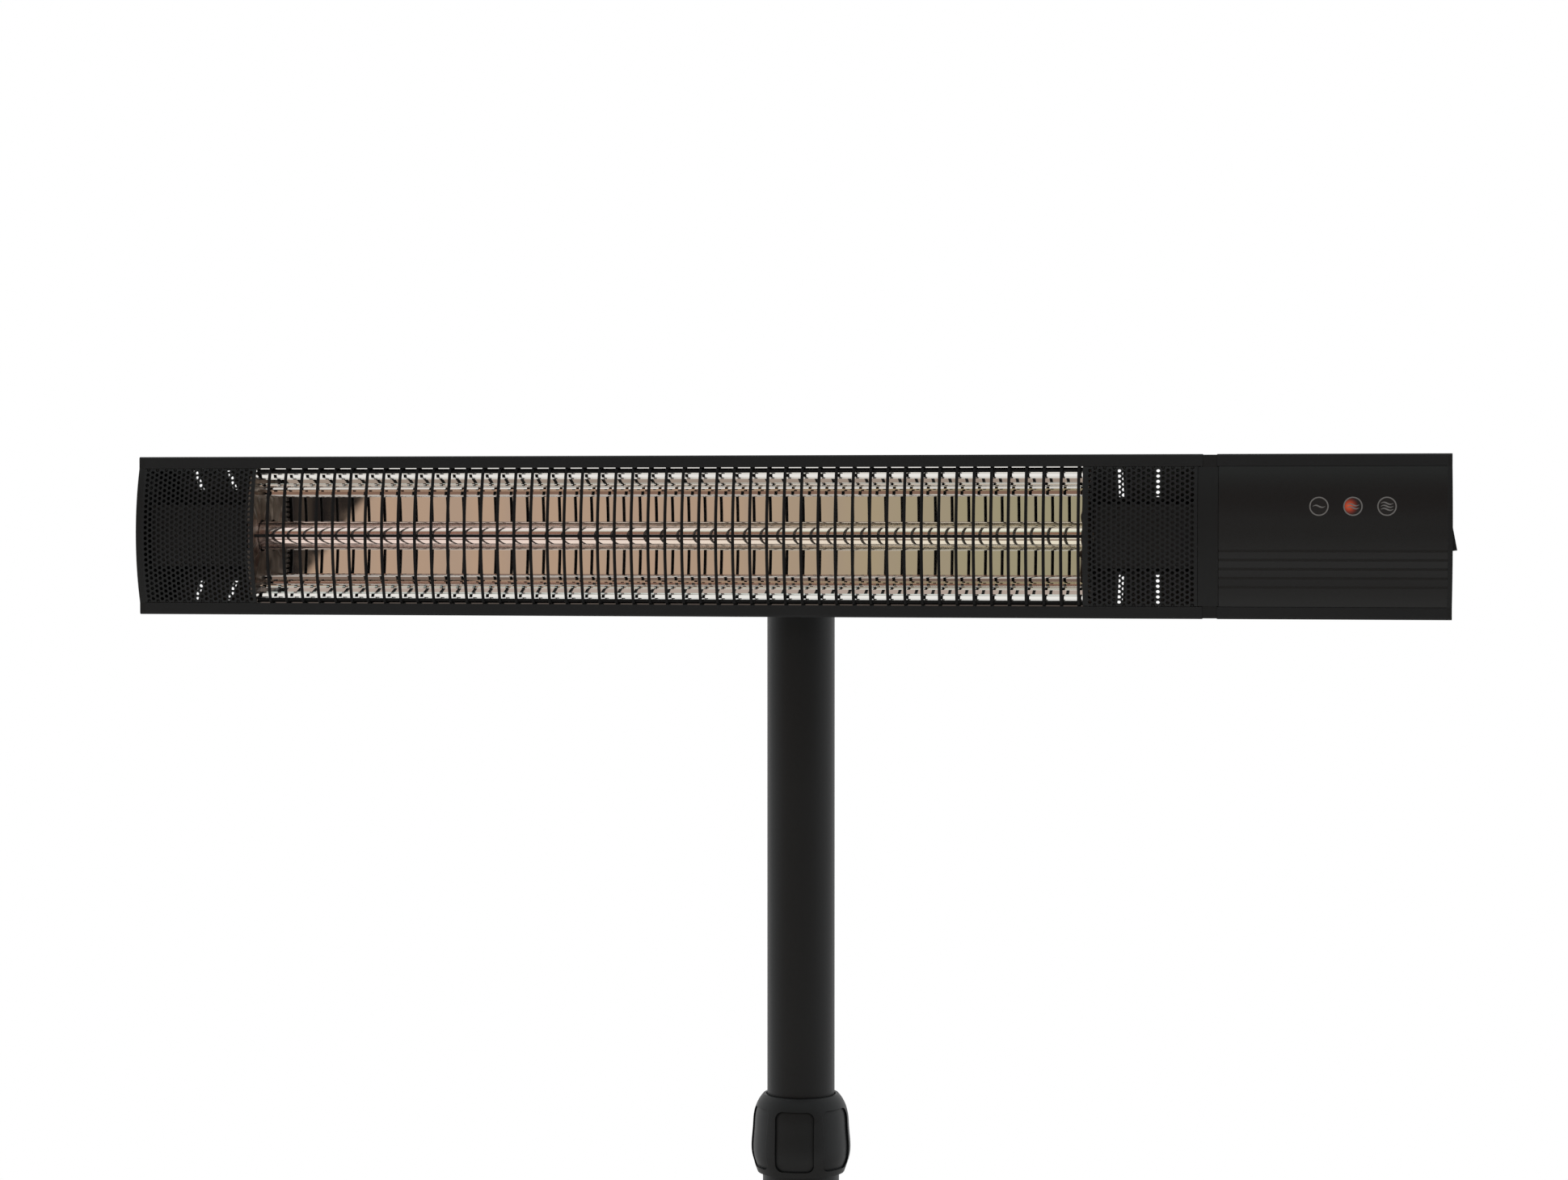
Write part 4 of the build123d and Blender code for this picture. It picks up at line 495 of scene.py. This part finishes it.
def rose_gold_quartz():
    """Quartz tube with a thin rose-gold coat that mirrors nearly as well as metal."""
    material, graph, sockets = shader("rose_gold_quartz", metallic=0.9, coat=0.3, coat_roughness=0.03)
    # painted tint of the reflections: rose at the left end, straw at the right
    turn_to_straw = graph.remap(graph.split(graph.place())[0], *QUARTZ_TURNS_AT, smooth=True)
    graph.feed(sockets["Base Color"], graph.mix(turn_to_straw, rgba(QUARTZ_ROSE), rgba(QUARTZ_STRAW)))
    graph.feed(sockets["Roughness"], graph.remap(graph.noise(QUARTZ_HAZE_MM), *NOISE_SPAN, *QUARTZ_ROUGHNESS))
    return material


def smoked_window(name):
    material, graph, sockets = shader(name, specular=0.5)
    graph.feed(sockets["Base Color"], two_tones(graph, PANEL_BLACK, WINDOW_SPREAD, WINDOW_MOTTLE_MM))
    grain = graph.noise(WINDOW_GRAIN_MM)
    graph.feed(sockets["Roughness"], graph.remap(grain, *NOISE_SPAN, *WINDOW_ROUGHNESS))
    return material


def lit_window(centre):
    """Smoked window with the lamp behind it glowing through its left half."""
    material = smoked_window("lit_window")
    graph = Graph(material.node_tree)
    sockets = material.node_tree.nodes["Principled BSDF"].inputs
    x, _, z = graph.split(graph.place())
    right = graph.math("SUBTRACT", x, centre.x + GLOW_OFFSET[0] * MM)
    up = graph.math("SUBTRACT", z, centre.z + GLOW_OFFSET[1] * MM)
    distance = graph.math("SQRT", graph.math("ADD", graph.math("MULTIPLY", right, right),
                                             graph.math("MULTIPLY", up, up)))
    glow = graph.remap(distance, 0.0, GLOW_R * MM, 1.0, 0.0, smooth=True)
    graph.feed(sockets["Emission Color"], graph.mix(glow, rgba(GLOW_EDGE), rgba(GLOW_CORE)))
    graph.feed(sockets["Emission Strength"], glow)
    return material


def concrete():
    material, graph, sockets = shader("cast_cement", specular=0.3)
    speckle = graph.noise(CEMENT_SPECKLE_MM, detail=6.0)
    graph.feed(sockets["Base Color"], graph.mix(speckle, rgba(CEMENT_DARK), rgba(CEMENT_LIGHT)))
    graph.feed(sockets["Roughness"], graph.remap(speckle, *NOISE_SPAN, *CEMENT_ROUGHNESS))
    graph.feed(sockets["Normal"], graph.bump(graph.cells(CEMENT_PORE_MM), CEMENT_PORE_DEPTH))
    return material


def carbon():
    material, graph, sockets = shader("carbon_ribbon", specular=0.4)
    weave = graph.node("ShaderNodeTexWave", {"Vector": graph.place(), "Scale": CARBON_WEAVE_SCALE},
                       bands_direction="DIAGONAL").outputs["Fac"]
    graph.feed(sockets["Base Color"], graph.mix(weave, rgba(CARBON_DARK), rgba(CARBON_LIGHT)))
    graph.feed(sockets["Roughness"], graph.remap(weave, 0.0, 1.0, *CARBON_ROUGHNESS))
    graph.feed(sockets["Normal"], graph.bump(weave, CARBON_WEAVE_DEPTH))
    return material


def finishes():
    """One material for each material slot of the frame, and one for the prints."""
    low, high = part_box("indicator_window_medium")
    finish = {slot: coating(slot, *values, **rest) for slot, (*values, rest) in COATS.items()}
    finish |= {slot: bare_metal(slot, *values) for slot, values in METALS.items()}
    finish |= {"mirror_aluminium": polished_sheet(), "gold_quartz": rose_gold_quartz(), "carbon": carbon(),
               "concrete": concrete(), "smoked_window": smoked_window("smoked_window"),
               "lit_window": lit_window((low + high) / 2)}
    # painted light: the inside of the housings is made a lighter grey
    paint_light_inside(finish["satin_black_metal"])
    return finish


def dress_nodes(finish):
    """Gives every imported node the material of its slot."""
    for part in frame["record"]["subparts"]:
        mesh = frame["nodes"][part["node"]].data
        mesh.materials.clear()
        mesh.materials.append(finish[part["material_slot"]])


# ---------------------------------------------------------------- mesh helpers
def new_piece(name, shape, material):
    """Turns a bmesh into a piece that rides on the head."""
    bmesh.ops.recalc_face_normals(shape, faces=shape.faces)
    mesh = bpy.data.meshes.new(name)
    shape.to_mesh(mesh)
    shape.free()
    mesh.materials.append(material)
    piece = bpy.data.objects.new(name, mesh)
    bpy.context.scene.collection.objects.link(piece)
    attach(piece, "head")
    return piece


def smooth(piece, degrees=30.0):
    mesh = piece.data
    mesh.polygons.foreach_set("use_smooth", [True] * len(mesh.polygons))
    mesh.set_sharp_from_angle(angle=math.radians(degrees))


# ---------------------------------------------------------------- perforated covers
SHEET_T = 1.2
HOLE_R = 1.2
HOLE_PITCH = 3.48
COLUMN_PITCH = HOLE_PITCH * math.sqrt(3) / 2
HOLE_POINTS = 12
END_MARGIN = 0.6           # least sheet between a hole and the sheet's ends,
EDGE_MARGIN = 0.4          # and between a hole and its folded edges
SHEET_GAP = 0.2            # between the folded edge and the lip
SHEET_FOLD_U = 1.6         # the sheet's edge is folded back to here, behind the lip
SHEET_LAP = 4.4            # and then out behind the lip
LEFT_COLUMN_S = -377.4     # a column of holes with a hole half a pitch from the mid line
RIGHT_COLUMN_S = 237.69


def sheet_place(s, w, depth):
    """Where the flat sheet's point (s, w) lies once it is bowed and its edges are folded in."""
    side = 1 if w >= 0 else -1
    edge_v = LIP_V - SHEET_GAP
    bow_w = ARC_R * math.asin(edge_v / ARC_R)
    run = abs(w)
    if run <= bow_w:
        angle = run / ARC_R
        radius = ARC_R - depth
        return head_point(s, ARC_U - radius * math.cos(angle), side * radius * math.sin(angle))
    edge_u = front_u(edge_v)
    fold = SHEET_FOLD_U - edge_u
    run -= bow_w
    if run <= fold:
        return head_point(s, edge_u + run, side * (edge_v - depth))
    return head_point(s, SHEET_FOLD_U + depth, side * (edge_v + run - fold))


def hole_centres(left, right, w_end, first_column_s):
    """A staggered pattern that keeps the holes off the flat sheet's edges."""
    first = math.ceil((left + HOLE_R + END_MARGIN - first_column_s) / COLUMN_PITCH)
    last = math.floor((right - HOLE_R - END_MARGIN - first_column_s) / COLUMN_PITCH)
    rows = int(w_end / HOLE_PITCH) + 1
    for column in range(first, last + 1):
        offset = 0.0 if column % 2 else 0.5
        for row in range(-rows - 1, rows + 1):
            w = (row + offset) * HOLE_PITCH
            if abs(w) <= w_end - HOLE_R - EDGE_MARGIN:
                yield first_column_s + column * COLUMN_PITCH, w


def hole_cells(centres):
    """A six-sided cell round each hole: pairs of the key of a border point and the hole's point facing it.
    Each border point has its place, how many cells meet there, and how many do so inside the pattern."""
    cells = []
    borders = {}
    for s, w in centres:
        cell = []
        for i in range(HOLE_POINTS):
            angle = 2 * math.pi * i / HOLE_POINTS
            reach, full = (HOLE_PITCH / 2, 2) if i % 2 else (HOLE_PITCH / math.sqrt(3), 3)
            point = s + reach * math.cos(angle), w + reach * math.sin(angle)
            key = round(point[0], 2), round(point[1], 2)
            borders.setdefault(key, [point, 0, full])[1] += 1
            cell.append((key, (s + HOLE_R * math.cos(angle), w + HOLE_R * math.sin(angle))))
        cells.append(cell)
    return cells, borders


def perforated_cover(name, node, first_column_s, material):
    """The cells joined into a sheet, whose outermost points are moved onto the sheet's edges."""
    left, right = s_span(node)
    edge_v = LIP_V - SHEET_GAP
    w_end = ARC_R * math.asin(edge_v / ARC_R) + SHEET_FOLD_U - front_u(edge_v) + SHEET_LAP
    cells, borders = hole_cells(hole_centres(left, right, w_end, first_column_s))
    shape = bmesh.new()

    def both_sides(point):
        return [shape.verts.new(sheet_place(*point, depth)) for depth in (0.0, SHEET_T)]

    outer = {}
    for key, (point, met, full) in borders.items():
        if met < full:
            s, w = point
            edges = ((left, w), (right, w), (s, -w_end), (s, w_end))
            point = min(edges, key=lambda edge: abs(edge[0] - s) + abs(edge[1] - w))
        outer[key] = both_sides(point)
    for cell in cells:
        inner = [both_sides(point) for _, point in cell]
        for i in range(HOLE_POINTS):
            j = (i + 1) % HOLE_POINTS
            outer_a, outer_b = outer[cell[i][0]], outer[cell[j][0]]
            inner_a, inner_b = inner[i], inner[j]
            shape.faces.new((outer_a[0], outer_b[0], inner_b[0], inner_a[0]))
            shape.faces.new((outer_b[1], outer_a[1], inner_a[1], inner_b[1]))
            shape.faces.new((inner_a[0], inner_b[0], inner_b[1], inner_a[1]))
    back_of = dict(outer.values())
    for edge in [edge for edge in shape.edges if len(edge.link_faces) == 1]:
        a, b = edge.verts
        if a in back_of and b in back_of:
            shape.faces.new((a, b, back_of[b], back_of[a]))
    piece = new_piece(name, shape, material)
    smooth(piece)
    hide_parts(node)


# ---------------------------------------------------------------- folded mirror
# (u, v) of the folds of the mirror's inside, from its flange in to the flat back, and each bend's radius.
# All the folds but the first were found by a fit to the photograph's window.
MIRROR_FOLDS = (((4.3, 45.65), 0.5), ((5.0, 40.35), 2.0), ((5.3, 36.9), 1.5), ((8.5, 33.05), 0.5),
                ((9.25, 32.15), 0.3), ((15.2, 31.5), 0.3), ((13.9, 26.1), 0.3), ((36.4, 26.05), 0.5))
MIRROR_FLANGE_V = 49.6
MIRROR_T = 0.8
BEND_STEPS = 10
BEND_LEAD = 0.15           # the flats begin this far from the bends, so that they mirror as flats


def rounded_line(points, radii):
    """The points of a line whose corners are rounded; the first and last points stay."""
    line = [points[0]]
    for before, corner, after, radius in zip(points, points[1:], points[2:], radii):
        a, b = (Vector(end) - Vector(corner) for end in (before, after))
        half = a.angle(b) / 2
        centre = Vector(corner) + (a.normalized() + b.normalized()).normalized() * radius / math.sin(half)
        start = Vector(corner) + a.normalized() * radius / math.tan(half) - centre
        end = Vector(corner) + b.normalized() * radius / math.tan(half) - centre
        line.append(centre + start + a.normalized() * BEND_LEAD)
        for i in range(BEND_STEPS + 1):
            line.append(centre + start.slerp(end, i / BEND_STEPS) * (radius / start.length))
        line.append(centre + end + b.normalized() * BEND_LEAD)
    line.append(points[-1])
    return [Vector(point) for point in line]


def folded_mirror(material):
    """The mirror's sheet with rounded bends, which draw out the wires' reflections."""
    folds = [fold for fold, _ in MIRROR_FOLDS]
    radii = [radius for _, radius in MIRROR_FOLDS]
    upper = [(folds[0][0], MIRROR_FLANGE_V), *folds]
    inside = rounded_line(upper + [(u, -v) for u, v in reversed(upper)], radii + radii[::-1])
    left, right = s_span("reflector")
    shape = bmesh.new()
    rails = []
    for i, point in enumerate(inside):
        along = inside[min(i + 1, len(inside) - 1)] - inside[max(i - 1, 0)]
        outside = point + Vector((-along.y, along.x)).normalized() * MIRROR_T
        rails.append([shape.verts.new(head_point(s, *place))
                      for place in (point, outside) for s in (left, right)])
    for a, b in zip(rails, rails[1:]):
        for p, q in ((0, 1), (1, 3), (3, 2), (2, 0)):
            shape.faces.new((a[p], a[q], b[q], b[p]))
    for a in (rails[0], rails[-1]):
        shape.faces.new((a[0], a[1], a[3], a[2]))
    piece = new_piece("folded_mirror", shape, material)
    smooth(piece, 40.0)
    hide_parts("reflector")


# ---------------------------------------------------------------- creased ends of the mirror
LEFT_DISH = 0.0            # how far each plate is dished into the mirror
RIGHT_DISH = 4.2
CREASES = 8
CREASE_RISE = 2.4          # the creases stand up this far from the dish
CREASE_START = 7.0         # both grow over this much round the hole,
CREASE_FADE = 3.0          # and fade out over this much before the folded sheet
CREASE_HOLE_R = 10.4
CREASE_RINGS = 14
CREASE_TURNS = 204
STEP_U = 14.5              # the mirror is wider in front of this depth
STEP_V = 31.6
WELL_V = 26.0
LIP_FOLD_U = 4.0           # the mirror begins here, behind the folded lips
PLATE_HALF_H = 43.0        # the plates end short of the housing's screw ports
PLATE_BOW_V = 39.5         # inside this height they bow forwards with the covers


def crease_room(u, v, back_u):
    """How far (u, v) lies inside the folded mirror."""
    wall_v = STEP_V if u < STEP_U else WELL_V
    return min(back_u - u, wall_v - abs(v), u - LIP_FOLD_U)


def crease_height(angle):
    """Rounded pleats that run outwards from the lamp. The added sines make them uneven."""
    pleat = angle * CREASES / (2 * math.pi) + 0.35 * math.sin(3 * angle + 0.6) + 0.2 * math.sin(5 * angle)
    ridge = 0.5 - 0.5 * math.cos(2 * math.pi * pleat)
    weight = 0.65 + 0.35 * math.sin(2 * angle + 1.0)
    return ridge * weight


def creased_end(name, node, inwards, dish, material):
    """Thin plate pressed over the end of the mirror, crumpled round the lamp; inwards is 1 or -1 along s."""
    low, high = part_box(node)
    s_face = (high.x if inwards > 0 else low.x) / MM
    s_back = (low.x if inwards > 0 else high.x) / MM
    tube_low, tube_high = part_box("quartz_tube")
    lamp_u = (tube_low.y + tube_high.y) / 2 / MM - LIP_Y
    back_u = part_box("reflector")[1].y / MM - LIP_Y - MIRROR_T
    outline = plate_outline(node)
    shape = bmesh.new()
    sides = []
    for i in range(CREASE_TURNS):
        angle = 2 * math.pi * i / CREASE_TURNS
        reach = min(ray_length(outline, (lamp_u, 0.0), angle),
                    PLATE_HALF_H / max(abs(math.sin(angle)), 0.01))
        ring = []
        for k in range(CREASE_RINGS + 1):
            radius = CREASE_HOLE_R + (reach - CREASE_HOLE_R) * k / CREASE_RINGS
            u, v = lamp_u + radius * math.cos(angle), radius * math.sin(angle)
            if abs(v) > PLATE_BOW_V:
                u = max(u, LIP_FOLD_U)
            room = max(0.0, min(1.0, crease_room(u, v, back_u) / CREASE_FADE))
            grown = min(1.0, (radius - CREASE_HOLE_R) / CREASE_START)
            rise = room * grown * (dish + CREASE_RISE * crease_height(angle))
            ring.append((shape.verts.new(head_point(s_face + inwards * rise, u, v)),
                         shape.verts.new(head_point(s_back + inwards * rise, u, v))))
        sides.append(ring)
    for i in range(CREASE_TURNS):
        a, b = sides[i], sides[(i + 1) % CREASE_TURNS]
        for k in range(CREASE_RINGS):
            for layer in (0, 1):
                shape.faces.new((a[k][layer], a[k + 1][layer], b[k + 1][layer], b[k][layer]))
        for k in (0, CREASE_RINGS):
            shape.faces.new((a[k][0], b[k][0], b[k][1], a[k][1]))
    piece = new_piece(name, shape, material)
    smooth(piece, 60.0)
    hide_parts(node)


def plate_outline(node):
    """The (u, v) outline of a flat plate across the head, as the convex hull of its corners."""
    points = set()
    for vertex in frame["nodes"][node].data.vertices:
        points.add((round(vertex.co.y / MM - LIP_Y, 2), round(vertex.co.z / MM - HEAD_Z, 2)))
    hull = []
    for points_in_turn in (sorted(points), sorted(points, reverse=True)):
        chain = []
        for point in points_in_turn:
            while len(chain) > 1 and turn(chain[-2], chain[-1], point) <= 0:
                chain.pop()
            chain.append(point)
        hull += chain[:-1]
    return hull


def turn(a, b, c):
    return (b[0] - a[0]) * (c[1] - a[1]) - (b[1] - a[1]) * (c[0] - a[0])


def ray_length(outline, centre, angle):
    """How far a ray from the centre runs before it leaves a convex outline."""
    du, dv = math.cos(angle), math.sin(angle)
    for a, b in zip(outline, outline[1:] + outline[:1]):
        eu, ev = b[0] - a[0], b[1] - a[1]
        cross = du * ev - dv * eu
        if cross <= 1e-9:
            continue
        length = ((a[0] - centre[0]) * ev - (a[1] - centre[1]) * eu) / cross
        share = ((a[0] - centre[0]) * dv - (a[1] - centre[1]) * du) / cross
        if -1e-6 <= share <= 1 + 1e-6:
            return length
    return CREASE_HOLE_R


# ---------------------------------------------------------------- printed icons
ICON_RING_R = 5.5
ICON_LINE = 0.8
RING_STEPS = 72
WAVE_HALF_L = 3.8
WAVE_RISE = 0.62
WAVE_LINE = 0.95
WAVE_PITCH = 1.85
WAVE_STEPS = 24
PRINT_T = 0.04


def printed_stroke(shape, points, widths, closed=False):
    """A thin raised stroke on the bowed panel, along (s, v) points."""
    count = len(points)
    rails = []
    for i, (s, v) in enumerate(points):
        before = points[i - 1] if closed or i else points[i]
        after = points[(i + 1) % count] if closed or i < count - 1 else points[i]
        along = Vector((after[0] - before[0], after[1] - before[1])).normalized()
        half = widths[i] / 2
        edges = [(s - along.y * half * k, v + along.x * half * k) for k in (-1, 1)]
        rails.append([shape.verts.new(head_point(es, front_u(ev) - lift, ev))
                      for es, ev in edges for lift in (-PRINT_T, PRINT_T)])
    last = count if closed else count - 1
    for i in range(last):
        a, b = rails[i], rails[(i + 1) % count]
        for p, q in ((1, 3), (3, 2), (2, 0), (0, 1)):
            shape.faces.new((a[p], a[q], b[q], b[p]))
    if not closed:
        for end in (rails[0], rails[-1]):
            shape.faces.new((end[0], end[1], end[3], end[2]))


def printed_icons(material):
    """One, two and three waves, each in a ring round its indicator window."""
    shape = bmesh.new()
    for waves, level in enumerate(("low", "medium", "high"), start=1):
        low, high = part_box("indicator_window_" + level)
        s, v = (low.x + high.x) / 2 / MM, (low.z + high.z) / 2 / MM - HEAD_Z
        turns = [2 * math.pi * i / RING_STEPS for i in range(RING_STEPS)]
        circle = [(s + ICON_RING_R * math.cos(t), v + ICON_RING_R * math.sin(t)) for t in turns]
        printed_stroke(shape, circle, [ICON_LINE] * len(circle), closed=True)
        for i in range(waves):
            middle = v + (i - (waves - 1) / 2) * WAVE_PITCH
            steps = [k / WAVE_STEPS for k in range(WAVE_STEPS + 1)]
            line = [(s + WAVE_HALF_L * (2 * t - 1), middle + WAVE_RISE * math.sin(2 * math.pi * t))
                    for t in steps]
            widths = [WAVE_LINE * (0.25 + 0.75 * math.sin(math.pi * t)) for t in steps]
            printed_stroke(shape, line, widths)
    new_piece("icon_prints", shape, material)


# ---------------------------------------------------------------- the dressed heater
def main():
    studio_camera()
    studio_world()
    studio_floor()
    finish = finishes()
    dress_nodes(finish)
    folded_mirror(finish["mirror_aluminium"])
    bronze = creased_metal("creased_aluminium", TARNISH_DARK, TARNISH_LIGHT, WORN_EDGE)
    sooty = creased_metal("sooty_aluminium", TARNISH_SOOTY, TARNISH_DARK, SOOT)
    creased_end("creased_end_left", "reflector_end_left", 1, LEFT_DISH, bronze)
    creased_end("creased_end_right", "reflector_end_right", -1, RIGHT_DISH, sooty)
    black = finish["satin_black_metal"]
    perforated_cover("perforated_sheet_left", "perforated_cover_left", LEFT_COLUMN_S, black)
    perforated_cover("perforated_sheet_right", "perforated_cover_right", RIGHT_COLUMN_S, black)
    printed_icons(finish["print_grey"])


main()
bpy.context.scene.view_settings.view_transform = "Standard"
